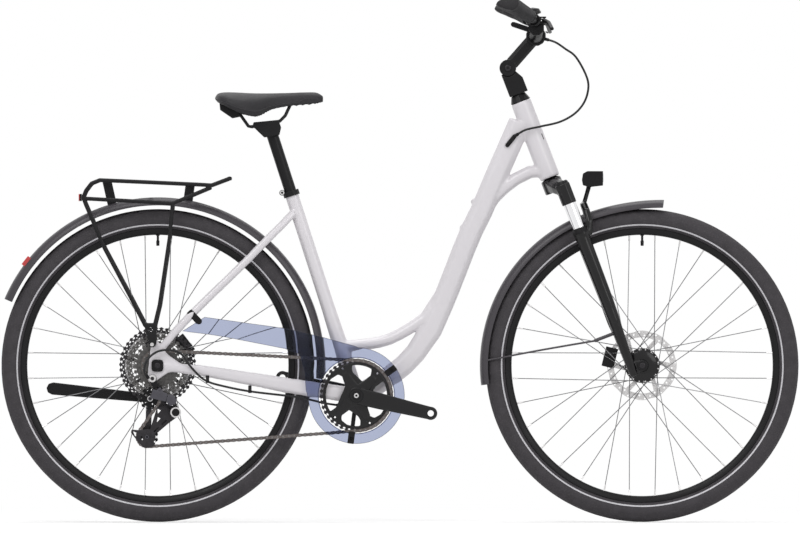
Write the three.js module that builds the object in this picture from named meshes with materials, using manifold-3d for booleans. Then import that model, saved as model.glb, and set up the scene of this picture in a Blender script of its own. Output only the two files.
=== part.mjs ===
// A step-through trekking bicycle in millimetres, +X forward, +Z up, drive side at -Y.
// The origin lies on the ground, half way between the two axles, in the middle plane.
import * as THREE from 'three';
import { mergeVertices } from 'three/addons/utils/BufferGeometryUtils.js';
import Module from 'manifold-3d';

const wasm = await Module();
wasm.setup();

// Clearances and overruns that every piece shares
const clearance = 0.3;
const overrun = 2;
const weldTolerance = 0.0005;

// Whole bicycle
const wheelbase = 1111.4;
const wheelRadius = 359;
const headAngle = 21.06;
const seatAngle = 17.9;
const forkOffset = 42.4;

// Wheels
const wheelSegments = 32;
const tyreWidth = 47;
const rimDepth = 15;
const rimWidth = 24.6;
const rimFloorWidth = 15;
const rimHookWidth = 20.6;
const rimWellDepth = 4.2;
const spokeRadius = 0.9;
const spokeSides = 3;
const spokesPerSide = 16;
const spokeCrossAngle = 67.5;
const valveRadius = 3;
const valveLength = 24;
const valveCapRadius = 4;
const valveCapLength = 11;

// Front hub, a dynamo with the disc brake on its left end
const frontHubWidth = 99;
const frontHubBore = 6.3;
const dynamoRadius = 40;
const dynamoWidth = 20;
const dynamoCentre = 26;
const dynamoStepRadius = 34;
const dynamoStepDepth = 4;
const frontLeftFlangeRadius = 33;
const frontLeftFlangePlace = 26;
const frontHubBodyRadius = 24;
const frontHubNeckRadius = 13;
const frontSpokeCircleInset = 3.4;
const flangeThickness = 3.2;

// Rear hub
const rearHubWidth = 134.4;
const rearFlangeRadius = 30;
const rearRightFlangePlace = 20;
const rearLeftFlangePlace = 33;
const rearHubBodyRadius = 16;
const rearHubNeckRadius = 11;
const rearSpokeCircleInset = 3;
const hubSides = 12;
const axleRadius = 6;
const axleCapRadius = 11;
const axleCapWidth = 5;

// Disc brakes
const rotorRadius = 80;
const rotorThickness = 1.9;
const rotorScallopCount = 12;
const rotorScallopDepth = 1.6;
const rotorTrackWidth = 15;
const rotorArmCount = 6;
const rotorArmWidth = 11;
const rotorHubRadius = 17;
const rotorHubRim = 5;
const frontRotorPlace = 39.5;
const rearRotorPlace = 52;
const caliperLength = 46;
const caliperHeight = 28;
const caliperWidth = 26;
const caliperSlotWidth = 3;
const caliperOverlap = 18;

// Frame tubes
const bracketReach = 455.8;
const bracketDrop = 68.7;
const bracketShellRadius = 21;
const bracketShellWidth = 73;
const bracketBore = 17.3;
const headTubeReach = 478;
const headTubeLength = 187.6;
const headTubeRadius = 23.5;
const headTubeBore = 21.7;
const seatTubeLength = 489.4;
const seatTubeRadius = 15.9;
const seatTubeFootRadius = 19;
const seatTubeBoreDepth = 260;
const downTubeHalfHeight = 27;
const downTubeHalfWidth = 22;
const topTubeHalfHeight = 13.5;
const topTubeHalfWidth = 17;
const strutHalfHeight = 15;
const strutHalfWidth = 16;
const chainStayHalfHeight = 19;
const chainStayHalfWidth = 8;
const seatStayHalfHeight = 9.5;
const seatStayHalfWidth = 8;
const tubeSides = 8;
const staySides = 6;
const dropoutThickness = 7;
const dropoutHeight = 64;
const dropoutLength = 46;
const bridgeRadius = 7;
const bossRadius = 5.5;
const bossHeight = 2.5;

// Front fork, measured up the steering axis from the foot of the axle
const steererRadius = 14.3;
const steererRise = 56.4;
const steererTop = headTubeReach + headTubeLength + steererRise;
const crownGap = 1;
const crownTop = headTubeReach - crownGap;
const crownDepth = 34;
const socketDrop = 71;
const socketBottom = crownTop - socketDrop;
const socketHeight = 48;
const socketRadius = 17.5;
const legSpread = 66;
const legForward = 20;
const stanchionRadius = 14;
const stanchionFoot = 205;
const lowerTop = 338;
const lowerTopRadius = 18.5;
const lowerMidRadius = 15.2;
const lowerFootRadius = 9.5;
const lowerFoot = -16;
const lowerBoreFoot = 128;
const legToe = 3.5;
const axleLugRadius = 12;
const archForward = 50;
const archHalfDepth = 9;
const archHalfHeight = 6.5;

// Headset and stem
const headsetConeHeight = 17;
const headsetConeTopRadius = 16.5;
const headsetCupDepth = 12;
const crownRaceHeight = 3;
const stemPivotRise = 82.2;
const stemPivotReach = headTubeReach + headTubeLength + stemPivotRise;
const stemPivotRadius = 19.5;
const stemBaseForward = 24;
const stemBaseHalfWidth = 20;
const stemArmLength = 97.8;
const stemArmAngle = 48.7;
const stemArmHalfHeight = 15.5;
const stemArmHalfWidth = 19;
const stemKnuckleHalfWidth = 10;
const stemClampRadius = 23;
const stemClampHalfWidth = 22;
const stemBoltRadius = 4.2;
const stemBoltHeadRadius = 8;
const stemBoltHeadHeight = 3.5;

// Handlebar and what sits on it
const barRadius = 11.1;
const barClampRadius = 15.9;
const barHalfWidth = 322;
const barBulgeHalfWidth = 34;
const barRise = 70;
const barSweep = 57;
const barSides = 10;
const gripLength = 128;
const gripRadius = 16;
const gripWing = 27;
const leverInset = 154;
const leverBladeLength = 112;
const leverForward = 23;
const leverBladeForward = 17;
const leverBladeDrop = 22;
const leverClampHalfWidth = 7;
const leverWall = 4.5;
const bladeHalfHeight = 5;
const bladeHalfDepth = 4;
const shifterInset = 180;
const shifterRadius = 19;
const shifterHalfWidth = 11;
const shifterDrop = 11;
const paddleLength = 30;
const paddleHalfWidth = 6;
const paddleThickness = 7;
const bellInset = 182;
const bellRadius = 19;
const bellHeight = 16;
const bellRise = 11;
const bellBack = 6;
const bellWall = 1.6;

// Seat post and saddle
const postRadius = 13.6;
const postTopReach = 640;
const postInsertion = 120;
const seatClampHeight = 9;
const seatClampWall = 3.5;
const saddleLength = 248;
const saddleHalfWidth = 84;
const saddleRise = 87.179582;
const saddleSetback = 127.891765;
const saddleDepth = 57;
const saddleSides = 16;
const railRadius = 3.5;
const railSpread = 22;

// Drive train
const chainPitch = 12.7;
const ringTeeth = 40;
const driveCogTeeth = 17;
const pulleyTeeth = 11;
const chainLine = 46.1;
const cogSpacing = 4.8;
const cogThickness = 1.8;
const cogTeeth = [11, 13, 15, 17, 21, 26, 34, 42];
const driveCogIndex = 3;
const freehubRadius = 17;
const toothHeight = 3.6;
const chainPlateHeight = 8.2;
const chainPlateThickness = 1;
const chainInnerGap = 2.35;
const rollerHalf = 2.2;
const toothRoot = chainPlateHeight / 2 + 2 * clearance;
const ringThickness = 2.2;
const spindleRadius = 8.4;
const spindleHalfLength = 66;
const crankLength = 175;
const crankTilt = 13.4;
const crankBossRadius = 17;
const crankEyeRadius = 14.5;
const crankThickness = 13;
const crankInnerFace = 53;
const crankEyeInnerFace = 66;
const crankHalfHeight = 12.5;
const pedalHoleRadius = 7.1;
const spiderThickness = 6;
const bracketCupRadius = 17;

// Rear derailleur
const hangerDrop = 29.4;
const hangerBack = 11.7;
const cageLength = 88;
const pulleyPinRadius = 3;
const cageGap = 5.2;
const cagePlateThickness = 1.8;
const guidePulleyDrop = 75.8;
const guidePulleyBack = 17;
const tensionPulleyBack = 24.1;
const cagePivotForward = 41.7;
const cagePivotDrop = 107.2;
const linkTopForward = 15;
const linkTopDrop = 26;
const linkFootBack = 10;
const linkFootRise = 22;
const linkHalfWidth = 6;
const linkHalfDepth = 4.5;
const knuckleThickness = 12;
const knuckleRadius = 9;
const knuckleReach = 12;
const cageGuideRadius = 7;
const cageTensionRadius = 12;
const cagePivotRadius = 8;

// Mudguards, rack, guard, stand, lights
const frontGuardRadius = 372.5;
const rearGuardRadius = 382.5;
const rearGuardRise = 3.5;
const archClearance = 386;
const mudguardSkirtDepth = 18.5;
const mudguardHalfWidth = 26;
const mudguardWall = 1.8;
const stayWireRadius = 2;
const stayTailAngle = 178;
const stayClipHeight = 92;
const stayClipLength = 44;
const frontGuardAngles = [82.5, 187];
const rearGuardAngles = [-5, 157];
const frontGuardFlare = 11;
const frontGuardSteps = 12;
const rearGuardSteps = 18;
const rackTubeRadius = 5;
const rackHalfWidth = 58;
const rackFootHalfWidth = 88;
const rackFrontForward = 165.4;
const rackFrontHeight = 429.1;
const rackRearBack = 170.8;
const rackRearHeight = 385.5;
const rackFootBack = 18.2;
const rackFootHeight = 74.5;
const rackPlateThickness = 4;
const rackPlateLength = 48;
const rackBoltForward = 6;
const rackBoltDrop = 26;
const rackSides = 4;
const guardThickness = 2.4;
const guardPlace = 52.6;
const guardRadius = 110;
const guardWindowRadius = 87;
const standLength = 255;
const standDrop = 79;
const standTipRadius = 14;
const standRootRadius = 9.5;
const standHalfThickness = 8;
const standPlace = 92;
const headlightPivotForward = 71;
const headlightPivotHeight = 420.5;
const headlightForward = 34.5;
const headlightHeight = 36.7;
const headlightFoot = 6.6;
const headlightHalfWidth = 20;
const stalkRadius = 5;
const stalkPinRadius = 1.8;
const earThickness = 3.5;
const cableRadius = 2.5;
const cableSides = 8;
const upperCableSteps = 18;
const lowerCableSteps = 26;
const clipIndexes = [3, 5];
const grommetPlace = [246, 0, 864];
const grommetRadius = 5;
const grommetDepth = 7;

const sideAxis = new THREE.Vector3(0, 1, 0);
const upAxis = new THREE.Vector3(0, 0, 1);
const forwardAxis = new THREE.Vector3(1, 0, 0);
const fullTurn = Math.PI * 2;
const quarterTurn = Math.PI / 2;
const radians = THREE.MathUtils.degToRad;

// Finishes, from the photograph
function finish(colour, roughness, metalness, opacity = 1) {
  const settings = { color: colour, roughness, metalness, transparent: opacity < 1, opacity };
  return new THREE.MeshStandardMaterial(settings);
}

const framePaint = finish(0xd6d3d8, 0.28, 0.1);
const blackGloss = finish(0x0f0e11, 0.25, 0.3);
const blackSatin = finish(0x1b1a1d, 0.5, 0.3);
const blackPlastic = finish(0x201f22, 0.6, 0);
const rackPaint = finish(0x2b292d, 0.55, 0.2);
const guardPlastic = finish(0x454047, 0.6, 0);
const tyreRubber = finish(0x353338, 0.85, 0);
const gripRubber = finish(0x3a383d, 0.8, 0);
const chrome = finish(0xe4e4e8, 0.1, 1);
const brightSteel = finish(0xb4b3b5, 0.3, 1);
const darkSteel = finish(0x4a464a, 0.4, 0.9);
const chainSteel = finish(0x6d6466, 0.4, 0.9);
const smokePlastic = finish(0xaab0d0, 0.15, 0, 0.45);
const redLens = finish(0xc0141c, 0.2, 0);
const saddleLeather = finish(0x2c2a2f, 0.65, 0);

// A closed surface, with its seams merged and its empty triangles left out, as a solid
function solid(geometry) {
  const bare = geometry.clone();
  for (const name of Object.keys(bare.attributes)) {
    if (name !== 'position') bare.deleteAttribute(name);
  }
  const merged = mergeVertices(bare, weldTolerance);
  const index = merged.index.array;
  const spots = merged.attributes.position;
  const kept = [];
  let volume = 0;
  const corners = [new THREE.Vector3(), new THREE.Vector3(), new THREE.Vector3()];
  for (let i = 0; i < index.length; i += 3) {
    const [a, b, c] = [index[i], index[i + 1], index[i + 2]];
    if (a === b || b === c || c === a) continue;
    kept.push([a, b, c]);
    [a, b, c].forEach((place, k) => corners[k].fromBufferAttribute(spots, place));
    volume += corners[0].dot(corners[1].cross(corners[2]));
  }
  const faces = volume < 0 ? kept.map(([a, b, c]) => [a, c, b]) : kept;
  const vertProperties = Float32Array.from(spots.array);
  const triVerts = Uint32Array.from(faces.flat());
  return new wasm.Manifold(new wasm.Mesh({ numProp: 3, vertProperties, triVerts }));
}

function surface(shape) {
  const mesh = shape.getMesh();
  const geometry = new THREE.BufferGeometry();
  geometry.setAttribute('position', new THREE.BufferAttribute(mesh.vertProperties, 3));
  geometry.setIndex(new THREE.BufferAttribute(mesh.triVerts, 1));
  geometry.computeVertexNormals();
  return geometry;
}

const joined = (first, ...others) => others.reduce((sum, next) => sum.add(next), first);
const cutBy = (first, ...others) => others.reduce((sum, next) => sum.subtract(next), first);

// Two triangle lists that close the first and the last ring of a loft
function capFaces(ring) {
  const normal = new THREE.Vector3();
  ring.forEach((spot, i) => normal.add(spot.clone().cross(ring[(i + 1) % ring.length])));
  const first = ring[1].clone().sub(ring[0]).normalize();
  const second = normal.normalize().clone().cross(first).normalize();
  const flat = ring.map((spot) => new THREE.Vector2(spot.dot(first), spot.dot(second)));
  return THREE.ShapeUtils.triangulateShape(flat, []);
}

// A skin over rings of equal length, capped at both ends, or closed on itself in a loop
function loft(rings, loop = false) {
  const count = rings[0].length;
  const positions = rings.flat().flatMap((spot) => [spot.x, spot.y, spot.z]);
  const index = [];
  const spans = loop ? rings.length : rings.length - 1;
  for (let i = 0; i < spans; i += 1) {
    const here = i * count;
    const next = ((i + 1) % rings.length) * count;
    for (let k = 0; k < count; k += 1) {
      const beside = (k + 1) % count;
      index.push(here + k, here + beside, next + beside);
      index.push(here + k, next + beside, next + k);
    }
  }
  if (!loop) {
    const last = (rings.length - 1) * count;
    capFaces(rings[0]).forEach(([a, b, c]) => index.push(c, b, a));
    capFaces(rings[0]).forEach(([a, b, c]) => index.push(last + a, last + b, last + c));
  }
  const geometry = new THREE.BufferGeometry();
  geometry.setAttribute('position', new THREE.Float32BufferAttribute(positions, 3));
  geometry.setIndex(index);
  return geometry;
}

// An oval of straight sides, squarer as its exponent share falls below one
function oval(centre, across, rise, halfWidth, halfHeight, sides, roundShare = 1) {
  return Array.from({ length: sides }, (_, k) => {
    const angle = fullTurn * ((k + 1 / 2) / sides);
    const [c, s] = [Math.cos(angle), Math.sin(angle)];
    const wide = Math.sign(c) * Math.abs(c) ** roundShare * halfWidth;
    const tall = Math.sign(s) * Math.abs(s) ** roundShare * halfHeight;
    return centre.clone().addScaledVector(across, wide).addScaledVector(rise, tall);
  });
}

function frames(path, reference) {
  return path.map((spot, i) => {
    const before = path[Math.max(i - 1, 0)];
    const after = path[Math.min(i + 1, path.length - 1)];
    const ahead = after.clone().sub(before).normalize();
    const across = reference.clone().addScaledVector(ahead, -reference.dot(ahead)).normalize();
    const rise = across.clone().cross(ahead).normalize();
    return { spot, across, rise };
  });
}

// A tube along a path, whose half width and half height may change from spot to spot
function sweep(path, halfWidths, halfHeights, sides, { reference = sideAxis, roundShare = 1 } = {}) {
  const pick = (value, i) => (Array.isArray(value) ? value[i] : value);
  return loft(frames(path, reference).map(({ spot, across, rise }, i) =>
    oval(spot, across, rise, pick(halfWidths, i), pick(halfHeights, i), sides, roundShare)));
}

function rod(from, to, radius, sides, reference = null) {
  const ahead = to.clone().sub(from).normalize();
  const steep = Math.abs(ahead.y) > 1 / 2;
  return sweep([from, to], radius, radius, sides, { reference: reference ?? (steep ? upAxis : sideAxis) });
}

// A cylinder or cone across the bicycle, between two places on the side axis
const across = (x, z, from, to, radius, sides) =>
  rod(new THREE.Vector3(x, from, z), new THREE.Vector3(x, to, z), radius, sides, upAxis);

// A shape trimmed so that it ends a clearance short of another, which lies in the given direction
function fitted(shape, other, way) {
  const shift = way.clone().multiplyScalar(-clearance);
  const rest = cutBy(shape, other, other.translate([shift.x, shift.y, shift.z])).decompose();
  return rest.sort((a, b) => b.volume() - a.volume())[0];
}

// The corner radius of a faceted hole whose flats clear a shaft of this radius
const hole = (shaft, sides) => (shaft + clearance) / Math.cos(Math.PI / sides);

// A smooth curve through hand-placed spots
function smooth(spots, steps) {
  return new THREE.CatmullRomCurve3(spots, false, 'centripetal').getSpacedPoints(steps);
}

// A cable or wire: an extruded circle along a curve
function wire(spots, radius, sides, steps) {
  const circle = Array.from({ length: sides }, (_, k) => {
    const angle = fullTurn * (k / sides);
    return new THREE.Vector2(Math.cos(angle) * radius, Math.sin(angle) * radius);
  });
  const curve = new THREE.CatmullRomCurve3(spots, false, 'centripetal');
  return new THREE.ExtrudeGeometry(new THREE.Shape(circle), { steps, extrudePath: curve });
}

// A turned shape from radius and height pairs, round the side axis or the upright axis
function turned(profile, sides, upright = false) {
  const open = profile[0][0] === 0;
  const line = open ? profile : [...profile, profile[0]];
  const shape = new THREE.LatheGeometry(line.map(([r, h]) => new THREE.Vector2(r, h)), sides);
  return upright ? shape.rotateX(quarterTurn) : shape;
}

// A flat plate from a side outline of forward and up pairs, its middle at one side place
function plate(outline, thickness, place, holes = []) {
  const points = (list) => list.map(([x, z]) => new THREE.Vector2(x, z));
  const shape = new THREE.Shape(points(outline));
  holes.forEach((hole) => shape.holes.push(new THREE.Path(points(hole))));
  const body = new THREE.ExtrudeGeometry(shape, { depth: thickness, bevelEnabled: false });
  return body.rotateX(quarterTurn).translate(0, place + thickness / 2, 0);
}

function arc(x, z, radius, startAngle, endAngle, steps) {
  return Array.from({ length: steps + 1 }, (_, k) => {
    const angle = radians(startAngle + (endAngle - startAngle) * (k / steps));
    return [x + radius * Math.cos(angle), z + radius * Math.sin(angle)];
  });
}

const circle = (x, z, radius, sides) => arc(x, z, radius, 0, 360 * (1 - 1 / sides), sides - 1);

function block(from, to) {
  const size = to.clone().sub(from);
  const middle = from.clone().add(to).multiplyScalar(1 / 2);
  return new THREE.BoxGeometry(Math.abs(size.x), Math.abs(size.y), Math.abs(size.z))
    .translate(middle.x, middle.y, middle.z);
}

// Spots given as shares of the line between two places: along it, off it, and out to the side
function between(from, to, shares, sideways = null) {
  const dx = to.x - from.x;
  const dz = to.z - from.z;
  return shares.map(([alongShare, offShare], i) => new THREE.Vector3(
    from.x + dx * alongShare - dz * offShare,
    sideways ? sideways[i] : 0,
    from.z + dz * alongShare + dx * offShare,
  ));
}

const mirrored = (spots) => spots.map((spot) => new THREE.Vector3(spot.x, -spot.y, spot.z));
const scaled = (shares, size) => shares.map((share) => share * size);
const spot = (x, y, z) => new THREE.Vector3(x, y, z);

// Main places in the side view
const rearAxle = spot(-wheelbase / 2, 0, wheelRadius);
const frontAxle = spot(wheelbase / 2, 0, wheelRadius);
const bracket = spot(rearAxle.x + bracketReach, 0, wheelRadius - bracketDrop);
const steeringUp = spot(-Math.sin(radians(headAngle)), 0, Math.cos(radians(headAngle)));
const steeringForward = spot(Math.cos(radians(headAngle)), 0, Math.sin(radians(headAngle)));
const steeringFoot = frontAxle.clone().addScaledVector(steeringForward, -forkOffset);
const headBottom = steeringFoot.clone().addScaledVector(steeringUp, headTubeReach);
const headTop = headBottom.clone().addScaledVector(steeringUp, headTubeLength);
const seatUp = spot(-Math.sin(radians(seatAngle)), 0, Math.cos(radians(seatAngle)));
const seatTop = bracket.clone().addScaledVector(seatUp, seatTubeLength);
const pitchRadius = (teeth) => chainPitch / (2 * Math.sin(Math.PI / teeth));

const bicycle = new THREE.Group();
const groupAt = (place, angle, parent = bicycle) => {
  const group = new THREE.Group();
  group.position.copy(place);
  group.rotation.y = radians(angle);
  parent.add(group);
  return group;
};
const steering = groupAt(steeringFoot, -headAngle);
const frontWheel = groupAt(spot(forkOffset, 0, 0), headAngle, steering);
const rearWheel = groupAt(rearAxle, 0);
const crankSet = groupAt(bracket, 0);
const seating = groupAt(bracket, -seatAngle);

function add(name, shape, material, group = bicycle) {
  const mesh = new THREE.Mesh(surface(shape), material);
  mesh.name = name;
  group.add(mesh);
}

// Wheels
const rimRadius = 314.5;
const rimInnerRadius = rimRadius - rimDepth;
const tyreBase = rimRadius - rimWellDepth + clearance;
const tyreHalfShares = [[0, 0.36], [0.1, 0.5], [0.4, 0.97], [0.76, 0.86], [1, 0]];

function tyre() {
  const point = ([depthShare, widthShare], side) =>
    [tyreBase + (wheelRadius - tyreBase) * depthShare, side * widthShare * tyreWidth / 2];
  const right = tyreHalfShares.map((shares) => point(shares, -1));
  const left = tyreHalfShares.slice(0, -1).reverse().map((shares) => point(shares, 1));
  return solid(turned([...right, ...left], wheelSegments));
}

function rim() {
  const half = [
    [rimInnerRadius, rimFloorWidth / 2],
    [rimRadius, rimWidth / 2],
    [rimRadius - rimWellDepth, rimHookWidth / 2],
  ];
  const other = half.map(([r, y]) => [r, -y]).reverse();
  return solid(turned([...half, ...other], wheelSegments));
}

// The rim's inner face is flat between its facets' edges, so a spoke's reach depends on its angle
function rimReach(angle) {
  const step = fullTurn / wheelSegments;
  const within = ((angle % step) + step) % step;
  return rimInnerRadius * Math.cos(step / 2) / Math.cos(within - step / 2) - clearance - spokeRadius / 2;
}

function spokes(flanges) {
  const count = spokesPerSide * 2;
  const pitch = fullTurn / count;
  return Array.from({ length: count }, (_, k) => {
    const { place, radius } = flanges[k % 2];
    const turn = Math.floor(k / 2) % 2 ? 1 : -1;
    const rimAngle = (k + 1 / 2) * pitch;
    const hubAngle = rimAngle + turn * radians(spokeCrossAngle);
    const head = place + turn * (flangeThickness / 2 + spokeRadius - clearance);
    const reach = rimReach(rimAngle);
    const lean = (k % 2 ? 1 : -1) * rimFloorWidth / 6;
    const from = spot(radius * Math.cos(hubAngle), head, radius * Math.sin(hubAngle));
    const to = spot(reach * Math.cos(rimAngle), lean, reach * Math.sin(rimAngle));
    return solid(rod(from, to, spokeRadius, spokeSides));
  });
}

const rotorSeat = (place) => place - rotorThickness / 2 - clearance;
const spigotRadius = rotorHubRadius - clearance;
const spigotLength = rotorHubRim + clearance;

function frontHub() {
  const half = frontHubWidth / 2;
  const flange = -dynamoCentre - dynamoWidth / 2 + dynamoStepDepth;
  const left = frontLeftFlangePlace;
  const shell = solid(turned([
    [frontHubBore, -half],
    [frontHubNeckRadius, -half],
    [frontHubNeckRadius, flange - 2 * dynamoStepDepth],
    [dynamoStepRadius, flange - 2 * dynamoStepDepth],
    [dynamoRadius, flange - flangeThickness],
    [dynamoRadius, flange],
    [dynamoStepRadius, flange],
    [dynamoStepRadius, flange + dynamoWidth],
    [frontHubBodyRadius, flange + dynamoWidth + dynamoStepDepth],
    [frontHubBodyRadius, left - dynamoStepDepth],
    [frontLeftFlangeRadius, left - flangeThickness / 2],
    [frontLeftFlangeRadius, left + flangeThickness / 2],
    [rotorHubRadius + rotorHubRim, left + 2 * flangeThickness],
    [rotorHubRadius + rotorHubRim, rotorSeat(frontRotorPlace)],
    [spigotRadius, rotorSeat(frontRotorPlace)],
    [spigotRadius, rotorSeat(frontRotorPlace) + spigotLength],
    [frontHubNeckRadius, rotorSeat(frontRotorPlace) + spigotLength],
    [frontHubNeckRadius, half],
    [frontHubBore, half],
  ], hubSides));
  return joined(shell, ...spokes([
    { place: flange - flangeThickness / 2, radius: dynamoRadius - frontSpokeCircleInset },
    { place: left, radius: frontLeftFlangeRadius - frontSpokeCircleInset },
  ]));
}


function rearHub() {
  const right = -rearRightFlangePlace;
  const left = rearLeftFlangePlace;
  const shell = solid(turned([
    [frontHubBore, right - flangeThickness],
    [rearHubBodyRadius, right - flangeThickness],
    [rearFlangeRadius, right - flangeThickness / 2],
    [rearFlangeRadius, right + flangeThickness / 2],
    [rearHubBodyRadius, right + 2 * flangeThickness],
    [rearHubBodyRadius, left - 2 * flangeThickness],
    [rearFlangeRadius, left - flangeThickness / 2],
    [rearFlangeRadius, left + flangeThickness / 2],
    [rotorHubRadius + rotorHubRim, left + 2 * flangeThickness],
    [rotorHubRadius + rotorHubRim, rotorSeat(rearRotorPlace)],
    [spigotRadius, rotorSeat(rearRotorPlace)],
    [spigotRadius, rotorSeat(rearRotorPlace) + spigotLength],
    [rearHubNeckRadius, rotorSeat(rearRotorPlace) + spigotLength],
    [rearHubNeckRadius, rearHubWidth / 2],
    [frontHubBore, rearHubWidth / 2],
  ], hubSides));
  return joined(shell, ...spokes([
    { place: right, radius: rearFlangeRadius - rearSpokeCircleInset },
    { place: left, radius: rearFlangeRadius - rearSpokeCircleInset },
  ]));
}

function rotor(place) {
  const step = 360 / rotorScallopCount;
  const rimOutline = Array.from({ length: rotorScallopCount }, (_, k) => [
    ...arc(0, 0, rotorRadius, k * step, k * step, 1).slice(1),
    ...arc(0, 0, rotorRadius - rotorScallopDepth, (k + 1 / 2) * step, (k + 1 / 2) * step, 1).slice(1),
  ]).flat();
  const armStep = 360 / rotorArmCount;
  const trackInner = rotorRadius - rotorTrackWidth;
  const hubOuter = rotorHubRadius + rotorHubRim;
  const armTurn = armStep / 2;
  const windows = Array.from({ length: rotorArmCount }, (_, k) => {
    const slim = (radius) => THREE.MathUtils.radToDeg(rotorArmWidth / 2 / radius);
    const from = k * armStep;
    const outer = arc(0, 0, trackInner, from + slim(trackInner), from + armStep - slim(trackInner), 3);
    const inner = arc(0, 0, hubOuter, from + armTurn + armStep - slim(hubOuter),
      from + armTurn + slim(hubOuter), 1);
    return [...outer, ...inner];
  });
  const bore = circle(0, 0, rotorHubRadius, hubSides);
  return solid(plate(rimOutline, rotorThickness, place, [...windows, bore]));
}

// The stem comes out of the rim's inner face, and its cap points at the hub
function valve() {
  const top = rimInnerRadius + rimDepth / 2;
  const neck = rimInnerRadius - valveLength + valveCapLength;
  return solid(turned([
    [0, neck - valveCapLength],
    [valveCapRadius / 2, neck - valveCapLength],
    [valveCapRadius, neck - valveCapLength * 2 / 3],
    [valveCapRadius, neck],
    [valveRadius, neck],
    [valveRadius, top],
    [0, top],
  ], 6, true));
}

function axle(halfLength, capRadius) {
  return solid(turned([
    [0, -halfLength - axleCapWidth],
    [capRadius, -halfLength - axleCapWidth],
    [capRadius, -halfLength],
    [axleRadius, -halfLength],
    [axleRadius, halfLength],
    [capRadius, halfLength],
    [capRadius, halfLength + axleCapWidth],
    [0, halfLength + axleCapWidth],
  ], 12));
}

add('tyre_front', tyre(), tyreRubber, frontWheel);
add('rim_front', joined(rim(), valve()), blackSatin, frontWheel);
add('hub_dynamo_front_with_spokes', frontHub(), blackGloss, frontWheel);
add('rotor_front', rotor(frontRotorPlace), brightSteel, frontWheel);
add('tyre_rear', tyre(), tyreRubber, rearWheel);
add('rim_rear', joined(rim(), valve()), blackSatin, rearWheel);
add('hub_rear_with_spokes', rearHub(), blackGloss, rearWheel);
add('rotor_rear', rotor(rearRotorPlace), brightSteel, rearWheel);

// Frame
const dropoutPlace = rearHubWidth / 2 + clearance + dropoutThickness / 2;
const downTubeShares = [[0, 0], [0.051, -0.034], [0.109, -0.063], [0.147, -0.079], [0.193, -0.091],
  [0.277, -0.098], [0.352, -0.091], [0.412, -0.084], [0.469, -0.076], [0.532, -0.067],
  [0.596, -0.06], [0.66, -0.057], [0.778, -0.044], [0.856, -0.037], [0.946, -0.028]];
const topTubeStartShare = 0.24;
const topTubeEndShares = [0.352, -0.091];
const topTubeShares = [[0, 0], [0.121, -0.036], [0.256, -0.073], [0.348, -0.093], [0.444, -0.102],
  [0.548, -0.095], [0.677, -0.075], [0.822, -0.04], [0.961, 0.027], [1.08, 0.11]];
const chainStayShares = [[0.03, 0.001], [0.11, 0.004], [0.211, 0.007], [0.362, 0.005], [0.514, 0.002],
  [0.64, -0.002], [0.746, -0.002], [0.842, -0.002], [0.97, -0.002]];
const chainStayHeightShares = [0.6, 0.62, 0.66, 0.76, 0.86, 0.96, 1, 1, 1];
const chainStaySpreadShares = [1, 1, 0.955, 0.81, 0.67, 0.57, 0.515, 0.485, 0.4];
const seatStayShares = [[0.066, 0.034], [0.169, 0.031], [0.269, 0.022], [0.397, 0.004],
  [0.523, -0.015], [0.649, -0.033], [0.767, -0.046], [0.857, -0.058], [0.935, -0.066]];
const seatStaySpreadShares = [1, 1, 0.955, 0.84, 0.73, 0.64, 0.57, 0.4, 0.2];
const strutShares = [[-0.004, -0.01], [0.004, -0.039], [0.031, -0.065], [0.081, -0.085],
  [0.132, -0.095], [0.18, -0.098], [0.236, -0.089]];
const bossShares = [[0.589, -0.027], [0.672, -0.018]];
const seatBridgeShare = [0.79, -0.048];
const chainBridgeShare = [0.86, -0.002];
const seatTubeShares = [0, 0.2, 0.45, 1];
const downTubeFootPlaces = 2;
const downTubeFootShare = 1.2;
const downTubeBendPlaces = 5;
const downTubeBendShare = 0.92;
const downTubeRoundShare = 0.8;
const topTubeFlarePlace = 7;
const topTubeFlareShare = 1.5;
const bossRootReach = 3 * bossRadius;
const bracketShellSides = tubeSides + 4;
const headTubeBoreOverrun = 20 * overrun;
const sidewaysFrom = (shares, side) => shares.map((share) => side * share * dropoutPlace);

function stay(shares, spreadShares, from, to, halfWidth, halfHeights, side) {
  const path = between(from, to, shares, sidewaysFrom(spreadShares, side));
  return solid(sweep(path, halfWidth, halfHeights, staySides));
}

// The right one carries the derailleur hanger, the left one the stand's plate
const hangerEye = spot(rearAxle.x - hangerBack, 0, rearAxle.z - hangerDrop);
const standPivot = spot(rearAxle.x + hangerBack, 0, rearAxle.z - standDrop);
const dropoutShares = [[-0.42, 0.1], [-0.36, 0.5], [-0.3, 0.88], [0, 0.9], [0.3, 0.56], [0.62, 0.34],
  [1.1, 0.1], [1.1, -0.16], [0.5, -0.26]];

const toeAngles = { right: [-20, -180], left: [0, -180] };

function dropout(side) {
  const outline = dropoutShares.map(([forwardShare, upShare]) =>
    [rearAxle.x + forwardShare * dropoutLength, rearAxle.z + upShare * dropoutHeight]);
  const eye = side < 0 ? hangerEye : standPivot;
  const eyeRadius = dropoutLength / 4;
  const [toeStart, toeEnd] = toeAngles[side < 0 ? 'right' : 'left'];
  const toe = arc(eye.x, eye.z, eyeRadius, toeStart, toeEnd, 4);
  return solid(plate([...outline, ...toe], dropoutThickness, side * dropoutPlace));
}

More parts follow.
